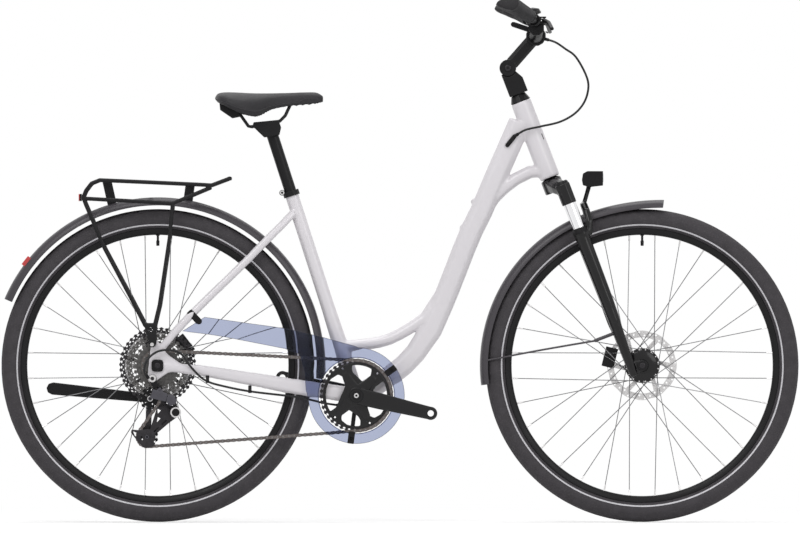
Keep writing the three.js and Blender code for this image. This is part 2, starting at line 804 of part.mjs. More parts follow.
function frame() {
  const down = between(bracket, headTop, downTubeShares);
  const downWidths = down.map((_, i) => downTubeHalfWidth * (i < downTubeFootPlaces ? downTubeFootShare : 1));
  const downHeights = down.map((_, i) => downTubeHalfHeight * (i < downTubeBendPlaces ? downTubeBendShare : 1));
  const topFrom = bracket.clone().lerp(seatTop, topTubeStartShare);
  const [topTo] = between(bracket, headTop, [topTubeEndShares]);
  const top = between(topFrom, topTo, topTubeShares);
  const topHeights = top.map((_, i) => topTubeHalfHeight * (i > topTubeFlarePlace ? topTubeFlareShare : 1));
  const strut = between(headBottom, bracket, strutShares);
  const seatPath = seatTubeShares.map((share) => bracket.clone().lerp(seatTop, share));
  const seatRadii = [seatTubeFootRadius, seatTubeFootRadius, seatTubeRadius, seatTubeRadius];
  const stayPlaces = [-1, 1].map((side) => [
    stay(chainStayShares, chainStaySpreadShares, rearAxle, bracket, chainStayHalfWidth,
      scaled(chainStayHeightShares, chainStayHalfHeight), side),
    stay(seatStayShares, seatStaySpreadShares, rearAxle, seatTop, seatStayHalfWidth,
      seatStayHalfHeight, side),
    dropout(side),
  ]);
  const [seatBridge] = between(rearAxle, seatTop, [seatBridgeShare]);
  const [chainBridge] = between(rearAxle, bracket, [chainBridgeShare]);
  const bridgeHalf = dropoutPlace / 2;
  const bosses = bossShares.map((shares) => {
    const [foot] = between(bracket, headTop, [shares]);
    const outward = headTop.clone().sub(bracket).normalize();
    const away = spot(-outward.z, 0, outward.x);
    return solid(rod(foot.clone().addScaledVector(away, -bossRootReach), foot.clone()
      .addScaledVector(away, bossHeight), bossRadius, staySides));
  });
  const body = joined(
    solid(sweep(down, downWidths, downHeights, tubeSides, { roundShare: downTubeRoundShare })),
    solid(sweep(top, topTubeHalfWidth, topHeights, tubeSides)),
    solid(sweep(strut, strutHalfWidth, strutHalfHeight, tubeSides)),
    solid(sweep(seatPath, seatRadii, seatRadii, tubeSides)),
    solid(rod(headBottom, headTop, headTubeRadius, hubSides)),
    solid(across(bracket.x, bracket.z, -bracketShellWidth / 2, bracketShellWidth / 2,
      bracketShellRadius, bracketShellSides)),
    ...stayPlaces.flat(),
    solid(across(seatBridge.x, seatBridge.z, -bridgeHalf, bridgeHalf, bridgeRadius, staySides)),
    solid(across(chainBridge.x, chainBridge.z, -bridgeHalf, bridgeHalf, bridgeRadius, staySides)),
    ...bosses,
  );
  const boreFrom = seatTop.clone().addScaledVector(seatUp, -seatTubeBoreDepth);
  const boreTo = seatTop.clone().addScaledVector(seatUp, overrun);
  const width = dropoutPlace + dropoutThickness;
  return cutBy(
    body,
    solid(rod(headBottom.clone().addScaledVector(steeringUp, -headTubeBoreOverrun),
      headTop.clone().addScaledVector(steeringUp, headTubeBoreOverrun), hole(headTubeBore - clearance,
        hubSides),
      hubSides)),
    solid(rod(boreFrom, boreTo, hole(postRadius, tubeSides), tubeSides)),
    solid(across(bracket.x, bracket.z, -bracketShellWidth, bracketShellWidth, bracketBore, tubeSides)),
    solid(across(rearAxle.x, rearAxle.z, -width, width, hole(axleRadius, tubeSides), tubeSides)),
    solid(across(hangerEye.x, hangerEye.z, -width, -bracketShellWidth / 2, hole(axleRadius, staySides),
      staySides)),
    solid(across(standPivot.x, standPivot.z, bracketShellWidth / 2, width, hole(axleRadius, hubSides),
      hubSides)),
  );
}

const frameBody = frame();
add('frame', frameBody, framePaint);
add('axle_rear', axle(dropoutPlace + dropoutThickness / 2 + clearance, axleCapRadius), blackSatin,
  rearWheel);

// Headset, in the steering frame
function headsetCone() {
  const foot = headTubeReach + headTubeLength + clearance;
  return solid(turned([
    [hole(steererRadius, hubSides), foot - headsetCupDepth],
    [headTubeBore - clearance, foot - headsetCupDepth],
    [headTubeBore - clearance, foot],
    [headTubeRadius, foot],
    [headsetConeTopRadius, foot + headsetConeHeight],
    [hole(steererRadius, hubSides), foot + headsetConeHeight],
  ], hubSides, true));
}

function headsetLower() {
  const foot = headTubeReach - clearance;
  return solid(turned([
    [hole(steererRadius, hubSides), foot],
    [headTubeBore - clearance, foot],
    [headTubeBore - clearance, foot + headsetCupDepth],
    [hole(steererRadius, hubSides), foot + headsetCupDepth],
  ], hubSides, true));
}

add('headset_upper', headsetCone(), blackSatin, steering);
add('headset_lower', headsetLower(), brightSteel, steering);

// Fork, in the steering frame: the crown with its steerer, two chromed stanchions and the lowers
const crownShares = [-1, -0.72, -0.4, 0, 0.4, 0.72, 1];
const crownHeightShares = [0.32, 0.5, 0.8, 1, 0.8, 0.5, 0.32];
const crownWidthShare = 0.8;
const crownEdgeHeight = 1;
const crownRoundShare = 0.7;

function crown() {
  const foot = crownTop - crownDepth;
  const path = crownShares.map((share) => spot(legForward * share ** 2,
    legSpread * share, crownTop - crownDepth / 2 - crownDepth / 2 * (share ** 2)));
  const bridge = sweep(path, headTubeRadius * crownWidthShare, crownHeightShares.map((share) =>
    crownDepth / 2 * (share + 1) / 2 + crownEdgeHeight), staySides,
  { reference: forwardAxis, roundShare: crownRoundShare });
  const column = turned([
    [0, foot],
    [headTubeRadius, foot],
    [headTubeRadius, crownTop - clearance - crownRaceHeight],
    [steererRadius + crownRaceHeight, crownTop - 2 * clearance],
    [steererRadius, crownTop - 2 * clearance],
    [steererRadius, steererTop],
    [0, steererTop],
  ], hubSides, true);
  const sockets = [-1, 1].map((side) => solid(rod(spot(legForward, side * legSpread, socketBottom),
    spot(legForward, side * legSpread, socketBottom + socketHeight), socketRadius, tubeSides)));
  const bores = [-1, 1].map((side) => solid(rod(spot(legForward, side * legSpread, socketBottom - overrun),
    spot(legForward, side * legSpread, socketBottom + socketHeight - overrun * 2),
    stanchionRadius + clearance, tubeSides)));
  const cap = solid(block(spot(-headTubeRadius * 2, -headTubeRadius * 2, crownTop - clearance),
    spot(headTubeRadius * 2, headTubeRadius * 2, crownTop + crownDepth)));
  return cutBy(joined(cutBy(solid(bridge), cap), solid(column), ...sockets), ...bores);
}

function stanchion(side) {
  const top = socketBottom + socketHeight - overrun * 2 - clearance;
  return solid(rod(spot(legForward, side * legSpread, stanchionFoot),
    spot(legForward, side * legSpread, top), stanchionRadius, tubeSides));
}

const lowerWaistPlace = 70;
const lowerWaistRadius = 12;
const lowerToePlace = 165;
const lowerCollarHeight = 12;
const lowerCollarStep = 1.5;
const lowerFootShare = 0.8;
const lugRiseShare = 1.6;
const archRootDrop = 14;
const archShares = [[1, 0], [0.97, 0.42], [0.8, 0.78], [0.45, 0.98], [0, 1.02]];

function lowers() {
  const legs = [-1, 1].map((side) => {
    const places = [lowerFoot, 0, lowerWaistPlace, lowerToePlace, lowerTop - lowerCollarHeight,
      lowerTop - lowerCollarHeight + overrun, lowerTop];
    const radii = [lowerFootRadius * lowerFootShare, lowerFootRadius, lowerWaistRadius, lowerMidRadius,
      lowerTopRadius - lowerCollarStep, lowerTopRadius, lowerTopRadius];
    const toe = (height) => legToe * Math.max(0, 1 - height / lowerToePlace);
    const path = places.map((height) => spot(legForward - toe(height), side * (legSpread - toe(height)),
      height));
    return solid(sweep(path, radii, radii, tubeSides));
  });
  const lugs = [-1, 1].map((side) => {
    const inner = frontHubWidth / 2 + clearance;
    const outline = [...arc(forkOffset, 0, axleLugRadius, -90, 90, 4),
      [legForward, axleLugRadius * lugRiseShare], [legForward - lowerFootRadius / 2, -axleLugRadius]];
    return solid(plate(outline, lowerFootRadius, side * (inner + lowerFootRadius / 2)));
  });
  const top = archClearance + archHalfHeight;
  const archFoot = lowerTop - archRootDrop;
  const half = archShares.map(([sideShare, upShare]) => spot(
    legForward + (archForward - legForward) * Math.min(1, 1 / 2 + upShare),
    legSpread * sideShare, archFoot + (top - archFoot) * upShare));
  const path = [...half, ...mirrored(half.slice(0, -1)).reverse()];
  const arch = solid(sweep(path, archHalfDepth, archHalfHeight, staySides, { reference: forwardAxis }));
  const bores = [-1, 1].map((side) => solid(rod(spot(legForward, side * legSpread, lowerBoreFoot),
    spot(legForward, side * legSpread, lowerTop + overrun), stanchionRadius + clearance, tubeSides)));
  const eyes = solid(across(forkOffset, 0, -legSpread * 2, legSpread * 2, hole(axleRadius, tubeSides),
    tubeSides));
  return cutBy(joined(...legs, ...lugs, arch), ...bores, eyes);
}

const lugOuter = frontHubWidth / 2 + clearance + lowerFootRadius;
add('fork_crown', crown(), blackGloss, steering);
add('stanchion_right', stanchion(-1), chrome, steering);
add('stanchion_left', stanchion(1), chrome, steering);
add('axle_front', axle(lugOuter + clearance, axleLugRadius), blackSatin, frontWheel);

// Drive train. The chain runs ring, tension pulley, guide pulley, cog and back to the ring.
const ringWheel = { x: bracket.x, z: bracket.z, teeth: ringTeeth, turn: 1 };
const cogWheel = { x: rearAxle.x, z: rearAxle.z, teeth: driveCogTeeth, turn: 1 };
const guideWheel = {
  x: rearAxle.x - guidePulleyBack, z: rearAxle.z - guidePulleyDrop, teeth: pulleyTeeth, turn: -1,
};
const tensionWheel = {
  x: rearAxle.x - tensionPulleyBack,
  z: guideWheel.z - Math.sqrt(cageLength ** 2 - (tensionPulleyBack - guidePulleyBack) ** 2),
  teeth: pulleyTeeth,
  turn: 1,
};
const chainWheels = [ringWheel, tensionWheel, guideWheel, cogWheel];

// The straight run from one wheel to the next, touching both pitch circles
function chainRun(from, to) {
  const [a, b] = [pitchRadius(from.teeth) * from.turn, pitchRadius(to.teeth) * to.turn];
  const [dx, dz] = [to.x - from.x, to.z - from.z];
  const way = Math.atan2(dz, dx) - Math.asin((a - b) / Math.hypot(dx, dz));
  const [nx, nz] = [-Math.sin(way), Math.cos(way)];
  const start = [from.x + a * nx, from.z + a * nz];
  const end = [to.x + b * nx, to.z + b * nz];
  return { start, end, length: Math.hypot(end[0] - start[0], end[1] - start[1]) };
}

// Chain path as pieces measured in links: an arc round each wheel, then its run
function chainPieces() {
  const runs = chainWheels.map((wheel, i) => chainRun(wheel, chainWheels[(i + 1) % chainWheels.length]));
  return chainWheels.flatMap((wheel, i) => {
    const arrive = runs[(i + chainWheels.length - 1) % chainWheels.length].end;
    const from = Math.atan2(arrive[1] - wheel.z, arrive[0] - wheel.x);
    const to = Math.atan2(runs[i].start[1] - wheel.z, runs[i].start[0] - wheel.x);
    const swept = ((wheel.turn > 0 ? from - to : to - from) + 2 * fullTurn) % fullTurn;
    return [
      { wheel, from, links: swept * wheel.teeth / fullTurn },
      { run: runs[i], links: runs[i].length / chainPitch },
    ];
  });
}

// Pins lie exactly on the teeth of the ring and the driven cog, and the slack under the bicycle
// is shared over the lower run and the cage, so that the count of links is even
const pieces = chainPieces();
const linkTotal = pieces.reduce((sum, piece) => sum + piece.links, 0);
const tightLinks = pieces[0].links + pieces[6].links + pieces[7].links;
const linkCount = 2 * Math.round(linkTotal / 2);
const slackStretch = (linkCount - tightLinks) / (linkTotal - tightLinks);

function chainPins() {
  const lengths = pieces.map((piece, i) => piece.links * ([0, 6, 7].includes(i) ? 1 : slackStretch));
  const pins = [];
  let passed = 0;
  pieces.forEach((piece, i) => {
    for (let k = Math.ceil(passed); k < passed + lengths[i] && pins.length < linkCount; k += 1) {
      const share = (k - passed) / lengths[i];
      if (piece.run) {
        const { start, end } = piece.run;
        pins.push([start[0] + (end[0] - start[0]) * share, start[1] + (end[1] - start[1]) * share]);
      } else {
        const { wheel, from } = piece;
        const angle = from - wheel.turn * share * piece.links * fullTurn / wheel.teeth;
        const radius = pitchRadius(wheel.teeth);
        pins.push([wheel.x + radius * Math.cos(angle), wheel.z + radius * Math.sin(angle)]);
      }
    }
    passed += lengths[i];
  });
  return pins;
}

const pins = chainPins();

// The angle at which a wheel's tooth gap meets the chain pin nearest to the middle of its arc
function gapAngle(wheel) {
  const radius = pitchRadius(wheel.teeth);
  const near = pins.filter(([x, z]) => Math.abs(Math.hypot(x - wheel.x,
    z - wheel.z) - radius) < radius / 1000);
  const [x, z] = near[Math.floor(near.length / 2)];
  return THREE.MathUtils.radToDeg(Math.atan2(z - wheel.z, x - wheel.x));
}

// One body from end to end: two rows of side plates and a diamond roller at each pin
function chain() {
  const count = pins.length;
  const positions = [];
  const index = [];
  const station = (i, side) => {
    const here = pins[i];
    const next = pins[(i + 1) % count];
    const last = pins[(i + count - 1) % count];
    const way = new THREE.Vector2(next[0] - last[0], next[1] - last[1]).normalize();
    const at = (forward, rise, y) => positions.push(here[0] + way.x * forward - way.y * rise,
      side * y - chainLine, here[1] + way.y * forward + way.x * rise);
    const first = positions.length / 3;
    const half = chainPlateHeight / 2;
    at(0, half, chainInnerGap);
    at(0, -half, chainInnerGap);
    at(0, -half, chainInnerGap + chainPlateThickness);
    at(0, half, chainInnerGap + chainPlateThickness);
    at(rollerHalf, 0, chainInnerGap);
    at(-rollerHalf, 0, chainInnerGap);
    return first;
  };
  const stations = [-1, 1].map((side) => pins.map((_, i) => station(i, side)));
  const faces = [[3, 2, 'b', 'c'], [0, 3, 'c', 'd'], [2, 1, 'a', 'b']];
  [-1, 1].forEach((side, strip) => {
    const face = (...corners) => {
      const turned = side < 0 ? corners : corners.reverse();
      for (let k = 1; k + 1 < turned.length; k += 1) index.push(turned[0], turned[k], turned[k + 1]);
    };
    for (let i = 0; i < count; i += 1) {
      const s = stations[strip][i];
      const n = stations[strip][(i + 1) % count];
      const far = { a: n + 1, b: n + 2, c: n + 3, d: n };
      faces.forEach(([p, q, r, t]) => face(s + p, s + q, far[r], far[t]));
      face(s, n, n + 5, s + 4);
      face(s + 4, n + 5, n + 1, s + 1);
    }
  });
  for (let i = 0; i < count; i += 1) {
    const [a, b] = [stations[0][i], stations[1][i]];
    [[0, 4], [4, 1], [1, 5], [5, 0]].forEach(([p, q]) => index.push(a + p, a + q, b + q, a + p, b + q,
      b + p));
  }
  const geometry = new THREE.BufferGeometry();
  geometry.setAttribute('position', new THREE.Float32BufferAttribute(positions, 3));
  geometry.setIndex(index);
  return solid(geometry);
}

// A toothed disc: a valley and a tip for each tooth, with the valleys at the chain's pins
function toothedOutline(teeth, fromAngle) {
  const step = 360 / teeth;
  const root = pitchRadius(teeth) - toothRoot;
  const tip = pitchRadius(teeth) + toothHeight;
  return Array.from({ length: teeth }, (_, k) => {
    const at = fromAngle + k * step;
    const [valley] = arc(0, 0, root, at, at, 1);
    const [peak] = arc(0, 0, tip, at + step / 2, at + step / 2, 1);
    return [valley, peak];
  }).flat();
}


// Eight cogs on their carrier, in one body with the freehub that they slide onto
function cassette() {
  const cogs = cogTeeth.map((teeth, i) => {
    const outline = toothedOutline(teeth, i === driveCogIndex ? gapAngle(cogWheel) : 0);
    return solid(plate(outline, cogThickness, -chainLine + (i - driveCogIndex) * cogSpacing));
  });
  const inner = -rearRightFlangePlace - flangeThickness - clearance;
  const outer = -chainLine - (driveCogIndex + 1 / 2) * cogSpacing;
  const core = solid(turned([
    [0, -rearHubWidth / 2], [rearHubNeckRadius, -rearHubWidth / 2], [rearHubNeckRadius, outer],
    [freehubRadius, outer], [freehubRadius, inner], [0, inner],
  ], tubeSides));
  const bore = solid(across(0, 0, -rearHubWidth, 0, hole(axleRadius, tubeSides), tubeSides));
  return cutBy(joined(core, ...cogs), bore);
}

const crankWay = radians(-crankTilt);
const spiderAngles = [48, 117.5, 225, -60];
const windowMargin = 1;
const bearingStand = 1;
const bearingHalfLength = bracketShellWidth / 2 + bearingStand;
const crankPathShares = [0, 0.1, 0.3, 0.92, 1.04];
const crankHeightShares = [1.3, 1.25, 1, 0.9, 0.88];
const crankOffsetShare = 1.15;
const crankRoundShare = 0.6;
const spiderHalfWidth = 8;
const windowRadius = pitchRadius(ringTeeth) - toothRoot - spiderHalfWidth - windowMargin;

function chainring() {
  const ringOutline = toothedOutline(ringTeeth, gapAngle(ringWheel));
  const gear = solid(plate(ringOutline, ringThickness, -chainLine, [circle(0, 0, windowRadius, hubSides)]));
  const bolts = spiderAngles.map((angle) => {
    const [place] = arc(0, 0, windowRadius, angle, angle, 1);
    return solid(across(place[0], place[1], -chainLine - spiderThickness, -chainLine + ringThickness / 2,
      spiderHalfWidth, 6));
  });
  return { gear, bolts };
}

function crankArm(side) {
  const way = side < 0 ? crankWay : crankWay + Math.PI;
  const middle = crankInnerFace + crankThickness / 2;
  const eyeMiddle = crankEyeInnerFace + crankThickness / 2;
  const path = crankPathShares.map((share) => spot(crankLength * share * Math.cos(way),
    side * (middle + (eyeMiddle - middle) * Math.min(1, share * crankOffsetShare)),
      crankLength * share * Math.sin(way)));
  const arm = solid(sweep(path, crankThickness / 2, scaled(crankHeightShares, crankHalfHeight), staySides,
    { roundShare: crankRoundShare }));
  const eye = path[0].clone().setX(crankLength * Math.cos(way)).setZ(crankLength * Math.sin(way));
  const boss = solid(across(0, 0, side * crankInnerFace, side * (crankInnerFace + crankThickness),
    crankBossRadius, tubeSides));
  const end = solid(across(eye.x, eye.z, side * crankEyeInnerFace,
    side * (crankEyeInnerFace + crankThickness), crankEyeRadius, tubeSides));
  const holes = [
    solid(across(eye.x, eye.z, side * crankInnerFace / 2, side * crankEyeInnerFace * 2, pedalHoleRadius,
      tubeSides)),
    solid(across(0, 0, side * crankInnerFace / 2, side * (crankInnerFace + crankThickness + overrun),
      spindleRadius + clearance, tubeSides)),
  ];
  return { body: joined(arm, boss, end), holes };
}

function crankRight() {
  const { gear, bolts } = chainring();
  const { body, holes } = crankArm(-1);
  const spider = spiderAngles.map((angle) => {
    const [end] = arc(0, 0, windowRadius, angle, angle, 1);
    const place = -chainLine - spiderThickness / 2 - ringThickness;
    return solid(sweep([spot(0, place, 0), spot(end[0], place, end[1])],
      spiderThickness / 2, [crankBossRadius, spiderHalfWidth], 6));
  });
  const boss = solid(across(0, 0, -chainLine, -crankInnerFace - overrun, crankBossRadius, tubeSides));
  return { chainringShape: cutBy(joined(gear, ...bolts, ...spider, boss), ...holes), arm: cutBy(body,
    ...holes) };
}

const right = crankRight();
const left = crankArm(1);
add('crank_right', joined(right.arm, right.chainringShape), blackGloss, crankSet);
add('crank_left', joined(cutBy(left.body, left.holes[0]),
  solid(across(0, 0, -spindleHalfLength, spindleHalfLength, spindleRadius, tubeSides))), blackGloss,
    crankSet);
add('bottom_bracket_bearings', cutBy(
  solid(across(0, 0, -bearingHalfLength, bearingHalfLength, bracketCupRadius, tubeSides)),
  solid(across(0, 0, -bracketShellWidth, bracketShellWidth, hole(spindleRadius, tubeSides), tubeSides)),
), darkSteel, crankSet);
add('cassette', cassette(), darkSteel, rearWheel);
add('chain', chain(), chainSteel);

// Rear derailleur: body on the hanger, a link, the lower knuckle, and the sprung cage with two pulleys
const cagePivot = spot(rearAxle.x + cagePivotForward, 0, rearAxle.z - cagePivotDrop);
const linkTop = spot(hangerEye.x + linkTopForward, 0, hangerEye.z - linkTopDrop);
const linkFoot = spot(cagePivot.x - linkFootBack, 0, cagePivot.z + linkFootRise);
const derailleurPlace = dropoutPlace + dropoutThickness / 2 + clearance;
const cagePlaces = [-chainLine - cageGap, -chainLine + cageGap];
const pulleyThicknessShare = 0.8;
const linkPinShare = 1.2;
const linkDepthShare = 0.9;

function pulley(wheel) {
  const outline = toothedOutline(pulleyTeeth, gapAngle(wheel));
  const eye = circle(0, 0, hole(pulleyPinRadius, staySides), staySides);
  return solid(plate(outline, rollerHalf * pulleyThicknessShare, -chainLine, [eye]));
}

// A link with round ends between two places in the side view
function bar(from, to, fromRadius, toRadius, thickness, place) {
  const way = THREE.MathUtils.radToDeg(Math.atan2(to.z - from.z, to.x - from.x));
  const outline = [...arc(from.x, from.z, fromRadius, way + 90, way + 270, 4),
    ...arc(to.x, to.z, toRadius, way - 90, way + 90, 4)];
  return solid(plate(outline, thickness, place));
}

function cage() {
  const guide = spot(guideWheel.x, 0, guideWheel.z);
  const tension = spot(tensionWheel.x, 0, tensionWheel.z);
  const plates = cagePlaces.map((place) => joined(
    bar(guide, tension, cageGuideRadius, cageTensionRadius, cagePlateThickness, place),
    bar(cagePivot, tension, cagePivotRadius, cagePivotRadius, cagePlateThickness, place),
    bar(cagePivot, guide, cagePivotRadius, cageGuideRadius, cagePlateThickness, place),
  ));
  const axles = [guide, tension].map((centre) => solid(across(centre.x, centre.z, cagePlaces[0],
    cagePlaces[1],
    pulleyPinRadius, 6)));
  const bridge = solid(across(cagePivot.x, cagePivot.z, cagePlaces[0], cagePlaces[1], linkHalfWidth,
    staySides));
  return joined(plates[0], plates[1], ...axles, bridge);
}

// The link swings sideways: its pins lie across it in the plane of the side view
const linkWay = linkFoot.clone().sub(linkTop).normalize();
const pinWay = spot(-linkWay.z, 0, linkWay.x);
const knucklePlace = -derailleurPlace - knuckleThickness / 2;
const onKnuckle = (centre) => centre.clone().setY(knucklePlace);

// Two ears that hold a pin of the link, tied back to a point of their knuckle
function linkEars(centre, root) {
  const ears = [-1, 1].map((side) => {
    const near = onKnuckle(centre).addScaledVector(pinWay, side * (linkHalfWidth + clearance));
    const far = onKnuckle(centre).addScaledVector(pinWay,
      side * (linkHalfWidth + clearance + earThickness));
    const middle = near.clone().add(far).multiplyScalar(1 / 2);
    const back = onKnuckle(root).addScaledVector(pinWay, side * linkHalfWidth);
    return joined(
      solid(rod(near, far, linkHalfDepth, tubeSides, linkWay)),
      solid(sweep([middle, back], linkHalfDepth, earThickness / 2, 4)),
    );
  });
  const pin = solid(rod(onKnuckle(centre).addScaledVector(pinWay, -linkHalfWidth * linkPinShare),
    onKnuckle(centre).addScaledVector(pinWay, linkHalfWidth * linkPinShare), stalkPinRadius, staySides,
      linkWay));
  return joined(...ears, pin);
}

function derailleurBody() {
  const bolt = solid(across(hangerEye.x, hangerEye.z, knucklePlace,
    -dropoutPlace + dropoutThickness / 2 + overrun, axleRadius - clearance, staySides));
  const root = linkTop.clone().addScaledVector(linkWay, -knuckleReach);
  return joined(bolt, bar(hangerEye, root, knuckleRadius, linkHalfWidth, knuckleThickness, knucklePlace),
    linkEars(linkTop, root));
}

function derailleurLink() {
  const body = solid(sweep([onKnuckle(linkTop), onKnuckle(linkFoot)], linkHalfDepth * linkDepthShare,
    linkHalfWidth, 4,
    { reference: sideAxis }));
  const barrels = [linkTop, linkFoot].map((centre) => solid(rod(
    onKnuckle(centre).addScaledVector(pinWay, -linkHalfWidth),
    onKnuckle(centre).addScaledVector(pinWay, linkHalfWidth), linkHalfDepth, tubeSides, linkWay)));
  const bores = [linkTop, linkFoot].map((centre) => solid(rod(
    onKnuckle(centre).addScaledVector(pinWay, -linkHalfWidth * 2),
    onKnuckle(centre).addScaledVector(pinWay, linkHalfWidth * 2), hole(stalkPinRadius, staySides),
      staySides,
    linkWay)));
  return cutBy(joined(body, ...barrels), ...bores);
}

function derailleurKnuckle() {
  const root = linkFoot.clone().addScaledVector(linkWay, knuckleReach);
  const pin = solid(across(cagePivot.x, cagePivot.z, knucklePlace,
    cagePlaces[0] - cagePlateThickness / 2 - clearance, knuckleRadius, tubeSides));
  return joined(bar(root, cagePivot, linkHalfWidth, knuckleRadius, knuckleThickness, knucklePlace), pin,
    linkEars(linkFoot, root));
}

add('derailleur_body', derailleurBody(), blackPlastic);
add('derailleur_link', derailleurLink(), darkSteel);
add('derailleur_knuckle', derailleurKnuckle(), blackPlastic);
add('derailleur_cage', cage(), darkSteel);
add('guide_pulley', pulley(guideWheel), blackPlastic, groupAt(spot(guideWheel.x, 0, guideWheel.z), 0));
add('tension_pulley', pulley(tensionWheel), blackPlastic, groupAt(spot(tensionWheel.x, 0,
  tensionWheel.z), 0));

// Brake calipers, each a block over the edge of its rotor
const frontCaliperAngle = 166;
const rearCaliperAngle = 38;

function caliper(angle, place) {
  const radius = rotorRadius - caliperOverlap + caliperHeight / 2;
  const turn = radians(angle);
  const body = new THREE.BoxGeometry(caliperHeight, caliperWidth, caliperLength);
  body.rotateY(-turn).translate(radius * Math.cos(turn), place, radius * Math.sin(turn));
  const slot = solid(across(0, 0, place - caliperSlotWidth / 2, place + caliperSlotWidth / 2,
    rotorRadius + overrun, wheelSegments));
  return cutBy(solid(body), slot);
}

add('caliper_front', caliper(frontCaliperAngle, frontRotorPlace), blackSatin, frontWheel);
add('caliper_rear', caliper(rearCaliperAngle, rearRotorPlace), blackSatin, rearWheel);

// Mudguards: an arched section swept round the wheel, flared outward at its front end
const flareSteps = 4;
const stayClipShare = 0.8;
const guardSectionShares = [[0, 1], [0.6, 0.85], [1, 0.35], [1, -0.35], [0.6, -0.85], [0, -1]];

function mudguard(radius, rise, flare, startAngle, endAngle, steps) {
  const skirt = radius - mudguardSkirtDepth;
  const outer = guardSectionShares.map(([riseShare, sideShare]) =>
    [skirt + mudguardSkirtDepth * riseShare, mudguardHalfWidth * sideShare]);
  const inner = guardSectionShares.map(([riseShare, sideShare]) =>
    [skirt + (mudguardSkirtDepth - mudguardWall) * riseShare,
      (mudguardHalfWidth - mudguardWall) * sideShare]);
  const section = [...outer, ...inner.reverse()];
  const rings = Array.from({ length: steps + 1 }, (_, k) => {
    const angle = radians(startAngle + (endAngle - startAngle) * (k / steps));
    const lift = flare * Math.max(0, 1 - k / flareSteps) ** 2;
    return section.map(([r, y]) => spot((r + lift) * Math.cos(angle), y,
      rise + (r + lift) * Math.sin(angle)));
  });
  return solid(loft(rings));
}

const lowerLegs = lowers();

// A solid of the steering's own frame, moved to the front wheel's
const inWheel = (shape) => shape.translate([-forkOffset, 0, 0]).rotate([0, -headAngle, 0]);

// The front one hangs from the fork's arch, and a wire on each side ties its tail to the leg
function frontMudguard() {
  const [tail] = arc(0, 0, frontGuardRadius - mudguardSkirtDepth, stayTailAngle, stayTailAngle, 1);
  const along = (height, forward) => steeringUp.clone().multiplyScalar(height)
    .addScaledVector(steeringForward, forward - forkOffset);
  const wires = [-1, 1].map((side) => {
    const end = along(stayClipHeight, legForward).setY(side * legSpread);
    const clip = along(stayClipHeight, legForward - lowerMidRadius - stayClipLength).setY(side * legSpread * stayClipShare);
    const start = spot(tail[0], side * (mudguardHalfWidth - mudguardWall / 2), tail[1]);
    return joined(
      solid(rod(start, clip, stayWireRadius, staySides)),
      solid(rod(clip, end, 2 * stayWireRadius, staySides)),
    );
  });
  const top = archClearance + archHalfHeight;
  const tab = solid(sweep([along(frontGuardRadius - 2 * mudguardWall, archForward), along(top,
    archForward)],
    mudguardHalfWidth / 2, archHalfDepth / 2, 4));
  const shape = joined(mudguard(frontGuardRadius, 0, frontGuardFlare, ...frontGuardAngles, frontGuardSteps),
    ...wires, tab);
  return fitted(shape, inWheel(lowerLegs), steeringUp);
}

add('mudguard_front', frontMudguard(), guardPlastic, frontWheel);
const rearGuard = mudguard(rearGuardRadius, rearGuardRise, 0, ...rearGuardAngles, rearGuardSteps);
add('mudguard_rear', rearGuard, guardPlastic, rearWheel);

// Rack: a bent loop of tube on each side, its lower rail, a front strut and a foot plate
const rackFront = spot(rearAxle.x + rackFrontForward, 0, rearAxle.z + rackFrontHeight);
const rackRear = spot(rearAxle.x - rackRearBack, 0, rearAxle.z + rackRearHeight);
const rackFoot = spot(rearAxle.x - rackFootBack, 0, rearAxle.z + rackFootHeight);
const rackLoopShares = [[0, 0], [0.127, 0.03], [0.207, 0.015], [0.54, -0.044], [0.874, -0.102],
  [0.931, -0.087], [0.974, -0.044], [1, 0]];
const rackStrutShares = [[0.046, -0.004], [0.363, -0.02], [0.716, -0.008], [0.947, -0.003]];
const rackStrutSideShares = [1, 1.15, 1.42, 1.5];
const rackLowerShares = [[0.002, -0.007], [0.309, -0.064], [0.596, -0.118], [0.716, -0.085], [0.865,
  -0.044]];
const rackFrontStrutShares = [[0, 0], [0.263, 0.023], [0.777, 0.038], [0.941, 0.028]];
const rackFrontStrutSideShares = [1, 1.12, 1.42, 1.5];
const rackBarShares = [[0.207, 0.015], [0.54, -0.044], [0.84, -0.096]];
const rackBracketShares = [0.27, 0.83];
const rackFootShares = [[-0.26, 0.46], [0.32, 0.46], [0.33, -0.5], [0.22, -0.66], [0.02, -0.66]];
const rackDeckShares = [0.0516, -0.177];
const rackBarShare = 0.9;
const rackSlatShare = 0.8;

function rackBracket(share) {
  const [top] = between(rackFront, rackRear, [[share, rackDeckShares[0] + share * rackDeckShares[1]]]);
  const away = top.clone().sub(rearAxle);
  const reach = rearGuardRadius + clearance;
  const angle = Math.atan2(away.z - rearGuardRise, away.x);
  const foot = spot(rearAxle.x + reach * Math.cos(angle), 0,
    rearAxle.z + rearGuardRise + reach * Math.sin(angle));
  const half = rackTubeRadius * 2;
  const tab = solid(plate([[top.x - half, top.z + half / 4], [top.x + half, top.z + half / 4],
    [foot.x + half, foot.z - half], [foot.x - half, foot.z - half]], rackTubeRadius, 0));
  return joined(
    fitted(tab, rearGuard.translate([rearAxle.x, 0, rearAxle.z]), spot(0, 0, -1)),
    solid(across(top.x, top.z, -rackHalfWidth, rackHalfWidth, rackTubeRadius * rackBarShare, rackSides)),
  );
}

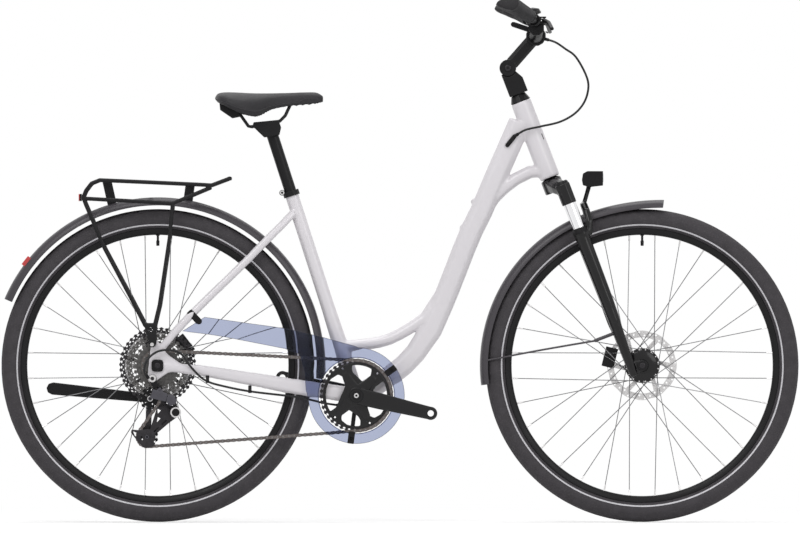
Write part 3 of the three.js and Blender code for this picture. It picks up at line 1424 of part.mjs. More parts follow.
function rack() {
  const tube = (path) => solid(sweep(path, rackTubeRadius, rackTubeRadius, rackSides));
  const halves = [-1, 1].flatMap((side) => {
    const out = (shares) => shares.map((share) => side * share * rackHalfWidth);
    const loop = between(rackFront, rackRear, rackLoopShares, out(rackLoopShares.map(() => 1)));
    const strut = between(rackRear, rackFoot, rackStrutShares, out(rackStrutSideShares));
    const [upper] = between(rackRear, rackFront, [rackLowerShares[2]]);
    const front = between(upper, rackFoot, rackFrontStrutShares, out(rackFrontStrutSideShares));
    const lower = between(rackRear, rackFront, rackLowerShares, out(rackLowerShares.map(() => 1)));
    const foot = rackFootShares.map(([forwardShare,
      upShare]) => [rackFoot.x + forwardShare * rackPlateLength,
      rackFoot.z + upShare * rackPlateLength]);
    const spacer = across(rackFoot.x + rackBoltForward, rackFoot.z - rackBoltDrop,
      side * (dropoutPlace + dropoutThickness / 2 + clearance), side * rackFootHalfWidth, rackTubeRadius,
        staySides);
    return [tube([...loop, ...strut]), tube(lower), tube(front), solid(spacer),
      solid(plate(foot, rackPlateThickness, side * rackFootHalfWidth))];
  });
  const bars = rackBarShares.map((shares) => {
    const [middle] = between(rackFront, rackRear, [shares]);
    return solid(across(middle.x, middle.z, -rackHalfWidth, rackHalfWidth,
      rackTubeRadius * rackSlatShare, rackSides));
  });
  const nose = solid(across(rackFront.x, rackFront.z, -rackHalfWidth, rackHalfWidth, rackTubeRadius,
    rackSides));
  const tail = solid(across(rackRear.x, rackRear.z, -rackHalfWidth, rackHalfWidth, rackTubeRadius,
    rackSides));
  return joined(...halves, ...bars, nose, tail, ...rackBracketShares.map(rackBracket));
}

add('rack', rack(), rackPaint);

const lampHalfWidth = 22;
const lampHalfHeight = 8.5;
const lampDepth = 4;
const lensDepthShare = 1.7;
const reflectorWidthShare = 1.6;
const reflectorAngle = 142;
const reflectorLength = 24;
const reflectorThickness = 5;
const tailX = rackRear.x - rackTubeRadius * Math.SQRT1_2 - clearance;
add('rear_light_housing', solid(block(spot(tailX, -lampHalfWidth, rackRear.z - lampHalfHeight),
  spot(tailX - lampDepth, lampHalfWidth, rackRear.z + lampHalfHeight))), blackPlastic);
add('rear_light_lens', solid(block(
  spot(tailX - lampDepth - clearance, -lampHalfWidth, rackRear.z - lampHalfHeight),
  spot(tailX - lampDepth * lensDepthShare, lampHalfWidth, rackRear.z + lampHalfHeight))), redLens);

// A flat red reflector on the back of the rear mudguard
function reflector() {
  const angle = radians(90 - reflectorAngle);
  const body = new THREE.BoxGeometry(reflectorLength, lampHalfWidth * reflectorWidthShare,
    2 * reflectorThickness);
  body.translate(0, 0, rearGuardRadius).rotateY(angle).translate(0, 0, rearGuardRise);
  return fitted(solid(body), rearGuard, spot(-Math.sin(angle), 0, -Math.cos(angle)));
}
add('rear_reflector', reflector(), redLens, rearWheel);

// Chain guard: a clear plate with a round window over the ring and a tongue over the upper run
const guardTongueShares = [[0.956, 0.242], [0.853, 0.254], [0.777, 0.263], [0.598, 0.276], [0.422, 0.275],
  [0.196, 0.273], [0.098, 0.188], [0.258, 0.192], [0.435, 0.186], [0.613, 0.178], [0.691, 0.162],
  [0.729, 0.077], [0.748, -0.01]];
const guardDiscAngles = [-176, 88];

function chainGuard() {
  const tongue = between(rearAxle, bracket, guardTongueShares).map(({ x, z }) => [x, z]);
  const disc = arc(bracket.x, bracket.z, guardRadius, ...guardDiscAngles, 16);
  const window = circle(bracket.x, bracket.z, guardWindowRadius, 24);
  return solid(plate([...disc, ...tongue], guardThickness, -guardPlace, [window]));
}

// Two arms from the bottom bracket pass inside the ring and step out to the guard
const guardArmAngles = [36, -97];
const guardArmHalfThickness = 1.5;
const guardArmHalfWidth = 7;
const guardPegRadius = 4;
const guardPegInset = 11;
const guardArmInset = 8;
const guardRingThickness = 3;
const guardRingWall = 4;

function guardBracket() {
  const inner = bracketShellWidth / 2 + guardArmHalfThickness;
  const arms = guardArmAngles.map((angle) => {
    const [near] = arc(0, 0, bracketShellRadius, angle, angle, 1);
    const [far] = arc(0, 0, guardRadius - guardArmInset, angle, angle, 1);
    const armPlace = -inner - guardArmHalfThickness;
    const outer = -guardPlace + guardThickness / 2 + clearance;
    const [bend] = arc(0, 0, guardRadius - guardPegInset, angle, angle, 1);
    return joined(
      solid(sweep([spot(near[0], armPlace, near[1]), spot(far[0], armPlace, far[1])], guardArmHalfThickness,
        guardArmHalfWidth, 4)),
      solid(sweep([spot(bend[0], armPlace + overrun / 2, bend[1]), spot(bend[0], outer, bend[1])],
        guardPegRadius, guardPegRadius, 6, { reference: upAxis })),
    );
  });
  const ring = solid(across(0, 0, -inner, -inner - guardRingThickness, bracketShellRadius + guardRingWall,
    tubeSides));
  const bore = solid(across(0, 0, -inner + overrun, -inner * 2, bracketCupRadius + clearance, tubeSides));
  return cutBy(joined(ring, ...arms), bore);
}

add('chain_guard', chainGuard(), smokePlastic);
add('chain_guard_bracket', guardBracket(), blackPlastic, crankSet);

// Kickstand, folded back along the left side
const standTiltShare = 0.1;

function stand() {
  const from = spot(standPivot.x, 0, standPivot.z);
  const to = spot(standPivot.x - standLength, 0, standPivot.z + standLength * standTiltShare);
  const leg = bar(from, to, standRootRadius, standTipRadius, standHalfThickness * 2, standPlace);
  const pin = solid(across(from.x, from.z, dropoutPlace - dropoutThickness, standPlace,
    axleRadius - clearance, hubSides));
  return joined(leg, pin);
}
add('kickstand', stand(), blackSatin);

// Headlight, tilting on the stalk that stands on the fork's arch
const headlightShares = [[-0.33, 0.12], [-0.4, 0.45], [-0.33, 0.85], [-0.05, 1], [1, 1], [1, 0.1], [0.1,
  0]];

function headlight() {
  const outline = headlightShares.map(([forwardShare, upShare]) =>
    [headlightForward * forwardShare, headlightFoot + headlightHeight * upShare]);
  const body = solid(plate(outline, headlightHalfWidth * 2, 0));
  const ears = [-1, 1].map((side) => bar(spot(0, 0, 0), spot(headlightFoot / 2, 0, headlightFoot * 2),
    stalkRadius, stalkRadius, earThickness, side * (stalkRadius + 2 * clearance + earThickness / 2)));
  const pin = solid(across(0, 0, -stalkRadius * 2, stalkRadius * 2, stalkPinRadius, 8));
  return joined(body, ...ears, pin);
}

// The stalk and its eye, one body with the fork's lowers
function lampStalk() {
  const foot = spot(archForward, 0, archClearance + archHalfHeight);
  const pivot = spot(headlightPivotForward, 0, headlightPivotHeight);
  return cutBy(joined(
    solid(sweep([foot, pivot], stalkRadius, stalkRadius, 6)),
    solid(across(pivot.x, pivot.z, -stalkRadius, stalkRadius, stalkRadius, 8)),
  ), solid(across(pivot.x, pivot.z, -stalkRadius * 2, stalkRadius * 2, stalkPinRadius + clearance, 8)));
}

add('fork_lowers', joined(lowerLegs, lampStalk()), blackGloss, steering);
const lamp = groupAt(spot(headlightPivotForward, 0, headlightPivotHeight), headAngle, steering);
add('headlight', headlight(), blackPlastic, lamp);

// Stem: a base clamped on the steerer, a pivoted arm and its bolt
const stemShoulderDrop = 22;
const stemShoulderForward = 12;
const stemKnuckleRoot = 4;
const stemTubeShare = 0.9;
const stemRoundShare = 0.7;

function stemBase() {
  const foot = headTubeReach + headTubeLength + headsetConeHeight + 2 * clearance;
  const top = stemPivotReach - stemPivotRadius / 2;
  const outline = [[-stemPivotRadius, foot], [stemBaseForward, foot], [stemBaseForward,
    top - stemShoulderDrop],
    [stemShoulderForward, top], [-stemPivotRadius, top]];
  const body = joined(
    solid(plate(outline, stemBaseHalfWidth * 2, 0)),
    bar(spot(0, 0, top - stemKnuckleRoot), spot(0, 0, stemPivotReach), stemKnuckleHalfWidth,
      stemPivotRadius,
      stemKnuckleHalfWidth * 2, 0),
  );
  const bore = solid(rod(spot(0, 0, foot - overrun), spot(0, 0, steererTop + clearance),
    hole(steererRadius, hubSides), hubSides));
  const swing = solid(across(0, stemPivotReach, stemKnuckleHalfWidth + clearance, stemBaseHalfWidth * 2,
    stemPivotRadius + clearance * 3, 16));
  const swingOther = solid(across(0, stemPivotReach, -stemKnuckleHalfWidth - clearance,
    -stemBaseHalfWidth * 2, stemPivotRadius + clearance * 3, 16));
  return joined(cutBy(body, bore, swing, swingOther), stemBolt());
}

// The pivot bolt, held by the base, with a head outside each cheek of the arm
function stemBolt() {
  const cheek = stemArmHalfWidth + clearance;
  const bolt = turned([
    [0, -cheek - stemBoltHeadHeight],
    [stemBoltHeadRadius, -cheek - stemBoltHeadHeight],
    [stemBoltHeadRadius, -cheek],
    [stemBoltRadius, -cheek],
    [stemBoltRadius, cheek],
    [stemBoltHeadRadius, cheek],
    [stemBoltHeadRadius, cheek + stemBoltHeadHeight],
    [0, cheek + stemBoltHeadHeight],
  ], 8);
  return solid(bolt.translate(0, 0, stemPivotReach));
}

const stemGroup = groupAt(spot(0, 0, stemPivotReach), headAngle, steering);
const armWay = radians(stemArmAngle);
const clampPlace = spot(stemArmLength * Math.cos(armWay), 0, stemArmLength * Math.sin(armWay));

function stemArm() {
  const at = (share) => clampPlace.clone().multiplyScalar(share);
  const tube = solid(sweep([at(0), at(stemTubeShare)], stemArmHalfWidth, stemArmHalfHeight, 8,
    { roundShare: stemRoundShare }));
  const ends = joined(
    tube,
    solid(across(0, 0, -stemArmHalfWidth, stemArmHalfWidth, stemPivotRadius - clearance, 16)),
    solid(across(clampPlace.x, clampPlace.z, -stemClampHalfWidth, stemClampHalfWidth, stemClampRadius, 12)),
  );
  const knuckle = solid(across(0, 0, -stemKnuckleHalfWidth - clearance, stemKnuckleHalfWidth + clearance,
    stemPivotRadius + clearance * 3, 16));
  const bore = solid(across(clampPlace.x, clampPlace.z, -stemArmHalfWidth * 2, stemArmHalfWidth * 2,
    barClampRadius + clearance, 12));
  const eye = solid(across(0, 0, -stemArmHalfWidth * 2, stemArmHalfWidth * 2, hole(stemBoltRadius,
    tubeSides),
    tubeSides));
  return cutBy(ends, knuckle, bore, eye);
}

add('stem_base', stemBase(), blackSatin, steering);
add('stem_arm', stemArm(), blackSatin, stemGroup);
// Handlebar, with its grips, brake levers, shifter and bell, all from the middle of the stem's clamp
const bars = groupAt(clampPlace, 0, stemGroup);
const barShares = [[0, 0, 0], [0.11, 0, 0], [0.2, -0.06, 0.06], [0.32, -0.05, 0.25], [0.46, 0.02, 0.43],
  [0.6, 0.22, 0.57], [1, 1, 1]];
const barSpots = (side) => barShares.map(([out, back, rise]) =>
  spot(-barSweep * back, side * barHalfWidth * out, barRise * rise));

function barPath() {
  const halfPath = (side) => [...smooth(barSpots(side).slice(0, -1), 8), barSpots(side).at(-1)];
  return [...halfPath(-1).reverse(), ...halfPath(1).slice(1)];
}

function handlebar() {
  const body = solid(sweep(barPath(), barRadius, barRadius, barSides, { reference: upAxis }));
  const bulge = solid(across(0, 0, -barBulgeHalfWidth, barBulgeHalfWidth, barClampRadius, hubSides));
  return joined(body, bulge);
}

// The room that the bar needs through whatever is clamped on it
const barRoom = solid(sweep(barPath(), hole(barRadius, barSides), hole(barRadius, barSides), barSides,
  { reference: upAxis }));

// What is clamped on the bar keeps its distance from the bar's end
const [leverPlace, shifterPlace, bellPlace] = [leverInset, shifterInset, bellInset].map((inset) =>
  barHalfWidth - inset);

function barAt(place, side) {
  const path = [...smooth(barSpots(side).slice(0, -1), 24), barSpots(side).at(-1)];
  const i = path.findIndex((point) => Math.abs(point.y) > place) - 1;
  const share = (place - Math.abs(path[i].y)) / Math.abs(path[i + 1].y - path[i].y);
  return { at: path[i].clone().lerp(path[i + 1], share),
    way: path[i + 1].clone().sub(path[i]).normalize() };
}

function ringOnBar(place, side, halfWidth, wall, sides = 8) {
  const { at, way } = barAt(place, side);
  const ends = [-1, 1].map((turn) => at.clone().addScaledVector(way, turn * halfWidth));
  return solid(rod(ends[0], ends[1], barRadius + wall, sides, upAxis));
}

const gripOvershoot = 4;
const gripPlaceShares = [0, 0.05, 0.3, 0.6, 0.85, 1];
const gripWingShares = [0, 0, 0.15, 0.7, 1, 0.75];
const gripRadiusShares = [0.9, 1, 1, 1, 1, 0.9];

// A grip with a palm rest that grows towards its outer end
function grip(side) {
  const [inner, outer] = barSpots(side).slice(-2);
  const way = outer.clone().sub(inner).normalize();
  const end = outer.clone().addScaledVector(way, gripOvershoot);
  const rings = gripPlaceShares.map((share, i) => {
    const centre = end.clone().addScaledVector(way, -gripLength * (1 - share));
    const rise = upAxis.clone().addScaledVector(way, -upAxis.dot(way)).normalize();
    const back = rise.clone().cross(way).multiplyScalar(side).normalize();
    return Array.from({ length: barSides + 2 }, (_, k) => {
      const angle = fullTurn * k / (barSides + 2);
      const lobe = Math.max(0, Math.cos(angle)) ** 2 * gripWing * gripWingShares[i];
      const radius = gripRadius * gripRadiusShares[i];
      return centre.clone().addScaledVector(back, Math.cos(angle) * radius + lobe)
        .addScaledVector(rise, Math.sin(angle) * radius);
    });
  });
  const from = end.clone().addScaledVector(way, -gripLength - overrun);
  const bore = solid(rod(from, outer.clone().addScaledVector(way, clearance), barRadius + clearance,
    barSides,
    upAxis));
  return cutBy(solid(loft(rings)), bore);
}

// Brake levers turn on an upright pin between two ears of the clamp's body
const leverPivot = (side) => barAt(leverPlace, side).at.clone()
  .add(spot(leverForward, -side * leverClampHalfWidth, 0));

function leverBody(side) {
  const { at } = barAt(leverPlace, side);
  const pivot = leverPivot(side);
  const ear = bladeHalfDepth + clearance;
  const reach = ear + earThickness;
  const tankBack = pivot.x - 3 * bladeHalfHeight;
  const tankFront = pivot.x - bladeHalfHeight - overrun;
  const from = pivot.y - side * bladeHalfHeight;
  const to = pivot.y + side * bladeHalfHeight;
  const tank = solid(block(spot(tankBack, from, pivot.z - reach), spot(tankFront, to, pivot.z + reach)));
  const neck = solid(sweep([at, spot(tankFront - overrun, pivot.y, pivot.z)], bladeHalfHeight,
    bladeHalfHeight,
    staySides));
  const ears = [-1, 1].map((up) => solid(block(
    spot(tankFront - overrun, from, pivot.z + up * ear),
    spot(pivot.x + bladeHalfHeight, to, pivot.z + up * reach))));
  const pin = solid(rod(pivot.clone().setZ(pivot.z - reach), pivot.clone().setZ(pivot.z + reach),
    stalkPinRadius, staySides));
  return cutBy(joined(ringOnBar(leverPlace, side, leverClampHalfWidth, leverWall), neck, tank, ...ears,
    pin), barRoom);
}

const bladeShares = [[-0.045, 0, 0], [0.08, 0, 0], [0.27, 0.6, -0.27], [0.6, 0.8, -0.6], [1, 1, -1]];

function leverBlade(side) {
  const pivot = leverPivot(side);
  const path = bladeShares.map(([outShare, forwardShare, dropShare]) => pivot.clone().add(spot(
    leverBladeForward * forwardShare, side * leverBladeLength * outShare, leverBladeDrop * dropShare)));
  const blade = solid(sweep(path, bladeHalfDepth, bladeHalfHeight, staySides, { reference: upAxis }));
  const eye = solid(rod(pivot.clone().setZ(pivot.z - bladeHalfHeight * 2), pivot.clone()
    .setZ(pivot.z + bladeHalfHeight * 2), hole(stalkPinRadius, staySides), staySides));
  return cutBy(blade, eye);
}

// The shifter's pod under the bar, and the paddle that turns behind it
const paddlePinShare = 0.4;
const shifterHub = barAt(shifterPlace, -1).at.clone().add(spot(0, 0, -shifterDrop));
const paddlePivot = shifterHub.clone().add(spot(-shifterRadius * paddlePinShare, 0,
  -shifterRadius * paddlePinShare));
const paddleTipShares = [-1.5, 0.5];

function shifter() {
  const inner = -shifterPlace + shifterHalfWidth;
  const pod = solid(across(shifterHub.x, shifterHub.z, inner - 2 * shifterHalfWidth, inner,
    shifterRadius, tubeSides));
  const pin = solid(across(paddlePivot.x, paddlePivot.z, inner, inner + 2 * clearance + paddleThickness,
    stalkPinRadius, staySides));
  return joined(cutBy(pod, barRoom), pin);
}

function paddle() {
  const place = -shifterPlace + shifterHalfWidth + clearance + paddleThickness / 2;
  const tip = paddlePivot.clone().add(spot(paddleLength * paddleTipShares[0], 0,
    paddleLength * paddleTipShares[1]));
  const eye = solid(across(paddlePivot.x, paddlePivot.z, place - paddleThickness, place + paddleThickness,
    hole(stalkPinRadius, staySides), staySides));
  return cutBy(bar(paddlePivot, tip, paddleHalfWidth, paddleHalfWidth, paddleThickness, place), eye);
}

const bellFoot = barAt(bellPlace, 1).at.clone().add(spot(-bellBack, 0, barRadius + bellRise));

function bellBase() {
  const post = solid(rod(bellFoot.clone().add(spot(0, 0, -bellRise)), bellFoot.clone()
    .add(spot(0, 0, bellWall * 2)), bellRadius / 2, tubeSides));
  return cutBy(joined(ringOnBar(bellPlace, 1, leverClampHalfWidth, leverWall), post), barRoom);
}

const bellShares = [[0.6, 0], [1, 0.1875], [1, 0.4], [0.75, 0.85]];

function bellDome() {
  const foot = bellWall;
  const dome = turned([
    [0, foot],
    ...bellShares.map(([wideShare, upShare]) => [bellRadius * wideShare, foot + bellHeight * upShare]),
    [0, foot + bellHeight],
  ], 12, true);
  return solid(dome.translate(bellFoot.x, bellFoot.y, bellFoot.z));
}

add('handlebar', handlebar(), blackSatin, bars);
[[-1, 'right'], [1, 'left']].forEach(([side, name]) => {
  add(`grip_${name}`, grip(side), gripRubber, bars);
  add(`brake_lever_body_${name}`, leverBody(side), blackPlastic, bars);
  add(`brake_lever_${name}`, leverBlade(side), darkSteel, bars);
});
add('shifter', shifter(), blackPlastic, bars);
add('shifter_paddle', paddle(), blackPlastic, bars);
add('bell', joined(bellBase(), bellDome()), blackGloss, bars);

// Seat post, its clamp on the frame, the saddle's clamp, rails, base and cover
const postFoot = seatTubeLength - postInsertion;
function seatPost() {
  return solid(rod(spot(0, 0, postFoot), spot(0, 0, postTopReach), postRadius, tubeSides));
}

function seatCollar() {
  const foot = seatTubeLength - seatClampHeight + clearance;
  return cutBy(
    solid(rod(spot(0, 0, foot), spot(0, 0, seatTubeLength + seatClampWall),
      seatTubeRadius + seatClampWall, hubSides)),
    solid(rod(spot(0, 0, foot - overrun), spot(0, 0, seatTubeLength + clearance),
      hole(seatTubeRadius, hubSides), hubSides)),
    solid(rod(spot(0, 0, foot), spot(0, 0, seatTubeLength + seatClampHeight), hole(postRadius, hubSides),
      hubSides)),
  );
}

const postTop = bracket.clone().addScaledVector(seatUp, postTopReach);
const saddleTopHeight = postTop.z + saddleRise;
const saddleRear = spot(postTop.x - saddleSetback, 0, saddleTopHeight);
const saddleStationShares = [
  [0, 0.3, 0.2, 0.3], [0.03, 0.7, 0.05, 0.45], [0.1, 0.93, 0, 0.6], [0.2, 1, 0, 0.82], [0.3, 0.97, 0.02,
    0.97],
  [0.4, 0.78, 0.03, 1], [0.52, 0.5, 0.03, 0.75], [0.66, 0.34, 0.02, 0.62], [0.82, 0.28, 0, 0.56],
  [0.94, 0.24, 0.02, 0.5], [1, 0.13, 0.16, 0.42],
];

const saddleCrownPower = 0.45;
const saddleUnderShare = 0.35;
const saddleTuckShare = 0.93;

// Each station gives its place along, its half width, its crown's drop and its skirt's drop as shares
function saddlePad() {
  const rings = saddleStationShares.map(([alongShare, wideShare, dropShare, skirtShare]) => {
    const top = saddleTopHeight - saddleDepth * dropShare;
    const skirt = saddleTopHeight - saddleDepth * skirtShare;
    const half = saddleHalfWidth * wideShare;
    return Array.from({ length: saddleSides }, (_, k) => {
      const angle = fullTurn * (k + 1 / 2) / saddleSides;
      const [c, s] = [Math.cos(angle), Math.sin(angle)];
      const rise = s > 0 ? skirt + (top - skirt) * s ** saddleCrownPower
        : skirt + (top - skirt) * saddleUnderShare * Math.sqrt(-s);
      return spot(saddleRear.x + saddleLength * alongShare, half * c * (s > 0 ? 1 : saddleTuckShare), rise);
    });
  });
  return solid(loft(rings));
}

const coverBody = saddlePad();
const railShares = [[0.16, 0.3], [0.24, 0.95], [0.31, 1.38], [0.34, 1.4], [0.46, 1.3], [0.6, 1.17],
  [0.65, 0.95], [0.72, 0.3]];
const saddleBlockShares = [[0.04, 0.3], [0.21, 0.5], [0.24, 0.98], [0.16, 1.05], [0.05, 0.72]];
const railSpreadShares = [1.25, 1.15, 1, 1, 1, 0.9, 0.75, 0.4];

function railPath() {
  const half = (side) => railShares.map(([alongShare, dropShare], i) => spot(
    saddleRear.x + saddleLength * alongShare, side * railSpread * railSpreadShares[i],
    saddleTopHeight - saddleDepth * dropShare));
  return [...half(-1), ...half(1).reverse()];
}

const railRoom = () => solid(sweep(railPath(), railRadius + 2 * clearance, railRadius + 2 * clearance,
  staySides));

// The rails are one bent rod that runs forward on the right, round the nose and back on the left
function rails() {
  const block = saddleBlockShares.map(([alongShare,
    dropShare]) => [saddleRear.x + saddleLength * alongShare,
    saddleTopHeight - saddleDepth * dropShare]);
  return fitted(joined(solid(sweep(railPath(), railRadius, railRadius, staySides)),
    solid(plate(block, 3 * railSpread, 0))), coverBody, upAxis);
}

const clampShares = [[-0.169, 0.153], [-0.158, 0.31], [0.073, 0.407], [0.096, 0.102], [0.08, -0.2],
  [-0.06, -0.3]];

function saddleClamp() {
  const outline = clampShares.map(([forwardShare, upShare]) =>
    [postTop.x + saddleLength * forwardShare, postTop.z + saddleDepth * upShare]);
  const post = solid(rod(bracket, postTop.clone().addScaledVector(seatUp, clearance),
    hole(postRadius, hubSides), hubSides));
  return cutBy(solid(plate(outline, 2 * (railSpread + 2 * railRadius), 0)), post, railRoom());
}

add('seat_post', seatPost(), blackSatin, seating);
add('seat_collar', seatCollar(), blackSatin, seating);
add('saddle_cover', coverBody, saddleLeather);
add('saddle_rails', rails(), blackSatin);
add('saddle_clamp', saddleClamp(), blackPlastic);

// Cables the bicycle holds, along routes chosen by hand
const shiftUpperRoute = [[333, -142, 1106], [356, -120, 1099], [379, -100, 1084], [402, -78, 1067],
  [424, -55, 1030], [432, -42, 1000], [424, -38, 966], [402, -38, 938], [367, -38, 918], [321, -36, 907],
  [287, -33, 899], [263, -28, 885]];
const shiftLowerRoute = [[-136, -20, 267], [-180, -31, 274], [-230, -44, 286], [-344, -58, 300], [-413,
  -68, 314],
  [-441, -76, 323], [-459, -80, 335], [-482, -84, 360], [-498, -86, 383], [-516, -86, 393], [-539, -86,
    395],
  [-562, -88, 388], [-580, -92, 370], [-586, -94, 345], [-576, -90, 330]];
const route = (spots) => spots.map(([x, y, z]) => spot(x, y, z));

// The upper one ends in a rubber grommet on the down tube
function upperCable() {
  const [end, far] = [shiftUpperRoute.at(-1), grommetPlace].map(([x, , z]) => spot(x, 0, z));
  const grommet = bar(end, far, grommetRadius, grommetRadius, 2 * grommetDepth, -downTubeHalfWidth);
  const cord = solid(wire(route(shiftUpperRoute), cableRadius, cableSides, upperCableSteps));
  return joined(cord, fitted(grommet, frameBody, sideAxis));
}

// The lower one hangs from two clips under the chain stay
function lowerCable() {
  const clips = clipIndexes.map((i) => {
    const [x, y, z] = shiftLowerRoute[i];
    const tab = solid(block(spot(x - cableRadius, y - cableRadius / 2, z - cableRadius),
      spot(x + cableRadius, y + cableRadius * 4, z + cableRadius * 6)));
    return fitted(tab, frameBody, upAxis);
  });
  return joined(solid(wire(route(shiftLowerRoute), cableRadius, cableSides, lowerCableSteps)), ...clips);
}

add('shift_cable_upper', upperCable(), blackPlastic);
add('shift_cable_lower', lowerCable(), blackPlastic);

export default bicycle;
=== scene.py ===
import math

import bmesh
import bpy
from bpy.props import FloatProperty, IntProperty, PointerProperty
from mathutils import Matrix, Vector
from mathutils.geometry import delaunay_2d_cdt


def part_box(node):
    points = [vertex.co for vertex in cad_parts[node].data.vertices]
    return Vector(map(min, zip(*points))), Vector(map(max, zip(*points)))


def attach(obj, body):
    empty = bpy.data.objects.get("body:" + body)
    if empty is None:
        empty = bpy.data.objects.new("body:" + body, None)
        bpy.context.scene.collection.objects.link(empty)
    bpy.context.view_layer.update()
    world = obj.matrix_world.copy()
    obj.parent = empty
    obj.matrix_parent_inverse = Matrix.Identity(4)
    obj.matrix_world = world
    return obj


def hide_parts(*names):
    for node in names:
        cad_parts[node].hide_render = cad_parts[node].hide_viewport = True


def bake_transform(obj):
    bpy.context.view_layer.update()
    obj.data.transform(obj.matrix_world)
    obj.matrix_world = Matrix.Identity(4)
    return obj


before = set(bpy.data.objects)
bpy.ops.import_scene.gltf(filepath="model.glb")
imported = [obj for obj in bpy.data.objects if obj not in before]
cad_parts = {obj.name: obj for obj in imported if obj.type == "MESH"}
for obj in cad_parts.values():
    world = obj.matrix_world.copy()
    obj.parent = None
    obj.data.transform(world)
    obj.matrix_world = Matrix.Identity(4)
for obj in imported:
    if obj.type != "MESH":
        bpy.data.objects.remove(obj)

bl_info = {
    "name": "Step-through bicycle",
    "version": (1, 0, 0),
    "blender": (4, 5, 0),
    "location": "View3D > Sidebar > Bicycle",
    "description": "Builds the surfaces of a step-through bicycle over its packed model",
    "category": "Object",
}

MM = 0.001
SIDE = Vector((0, 1, 0))
UP = Vector((0, 0, 1))
FORWARD = Vector((1, 0, 0))

# The picture: the size of one point, its middle and the ground line in points, and its whole width
PIXEL = 2.295 * MM
PICTURE_MIDDLE = 400.05
PICTURE_GROUND = 521.9
PICTURE_WIDTH = 800 * PIXEL

# The axes that the pieces are laid out from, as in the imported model
REAR_AXLE = Vector((-0.5557, 0, 0.359))
FRONT_AXLE = Vector((0.5557, 0, 0.359))
BRACKET = Vector((-0.0999, 0, 0.2903))
HEAD_TILT = math.radians(21.06)
STEER_UP = Vector((-math.sin(HEAD_TILT), 0, math.cos(HEAD_TILT)))
STEER_FORWARD = Vector((math.cos(HEAD_TILT), 0, math.sin(HEAD_TILT)))
STEER_FOOT = FRONT_AXLE - STEER_FORWARD * 42.4 * MM
SEAT_TILT = math.radians(17.9)
SEAT_UP = Vector((-math.sin(SEAT_TILT), 0, math.cos(SEAT_TILT)))
FORK_LEAD = 20 * MM
LEG_SPREAD = 66 * MM
BAR_CLAMP = Vector((0.3120, 0, 1.1151))
STEM_PIVOT = Vector((0.24741, 0, 1.04161))


# Sizes that can be changed in the sidebar

class BICYCLE_wheel_sizes(bpy.types.PropertyGroup):
    """Sizes of the two wheels"""
    outer_radius: FloatProperty(name="Tyre radius", description="Outer radius of the tyre",
                                default=0.359, unit="LENGTH")
    tyre_width: FloatProperty(name="Tyre width", description="Width of the tyre", default=0.047, unit="LENGTH")
    rim_radius: FloatProperty(name="Rim radius", description="Outer radius of the rim", default=0.3145,
                              unit="LENGTH")
    rim_depth: FloatProperty(name="Rim depth", description="Radial depth of the rim", default=0.015,
                             unit="LENGTH")
    rim_width: FloatProperty(name="Rim width", description="Width of the rim", default=0.0246, unit="LENGTH")
    spoke_radius: FloatProperty(name="Spoke radius", description="Radius of a spoke", default=0.001,
                                unit="LENGTH")
    spokes: IntProperty(name="Spokes", description="Number of spokes in a wheel", default=32)
    steps: IntProperty(name="Steps", description="Steps round a tyre", default=324)


class BICYCLE_drive_sizes(bpy.types.PropertyGroup):
    """Sizes of the chain and the toothed wheels"""
    pitch: FloatProperty(name="Chain pitch", description="Distance between two chain pins", default=0.0127,
                         unit="LENGTH")
    chain_line: FloatProperty(name="Chain line", description="Distance of the chain from the middle plane",
                              default=0.0461, unit="LENGTH")
    cog_spacing: FloatProperty(name="Cog spacing", description="Distance between two cogs", default=0.0048,
                               unit="LENGTH")
    ring_teeth: IntProperty(name="Ring teeth", description="Teeth of the chainring", default=40)
    crank_length: FloatProperty(name="Crank length", description="From the spindle to the pedal eye",
                                default=0.175, unit="LENGTH")


class BICYCLE_frame_sizes(bpy.types.PropertyGroup):
    """Sizes used to refine the frame's surfaces"""
    voxel: FloatProperty(name="Grain of the frame", description="Size of the cells that round the frame",
                         default=0.002, unit="LENGTH")
    small_voxel: FloatProperty(name="Grain of the fittings",
                               description="Size of the cells that round the small fittings", default=0.0009,
                               unit="LENGTH")
    cable_radius: FloatProperty(name="Cable radius", description="Radius of a cable's sleeve", default=0.0025,
                                unit="LENGTH")


# Mesh helpers

class Shell:
    """A list of corners and faces that grows as closed pieces are added to it"""

    def __init__(self):
        self.verts = []
        self.faces = []

    def add(self, verts, faces):
        first = len(self.verts)
        self.verts += [Vector(v) for v in verts]
        self.faces += [tuple(i + first for i in face) for face in faces]
        return self

    def join(self, other):
        return self.add(other.verts, other.faces)

    def moved(self, matrix):
        self.verts = [matrix @ v for v in self.verts]
        return self


def turns(count, shift=0.0):
    """Angles spread evenly round a circle"""
    return [2 * math.pi * (k + shift) / count for k in range(count)]


def metres(pairs):
    """Pairs of millimetres as metres"""
    return [(a * MM, b * MM) for a, b in pairs]


def heading(degrees):
    """The direction in the side view at an angle above the way forward"""
    t = math.radians(degrees)
    return Vector((math.cos(t), 0, math.sin(t)))


def loft(rings, turned=False):
    """A closed piece through rings that have the same number of corners, its faces' order turned if asked"""
    sides = len(rings[0])
    faces = []
    for i in range(len(rings) - 1):
        a, b = i * sides, (i + 1) * sides
        for k in range(sides):
            n = (k + 1) % sides
            faces.append((a + k, b + k, b + n, a + n) if turned else (a + k, a + n, b + n, b + k))
    first, last = tuple(range(sides)), tuple(range((len(rings) - 1) * sides, len(rings) * sides))
    faces += [first, last[::-1]] if turned else [first[::-1], last]
    return Shell().add([corner for ring in rings for corner in ring], faces)


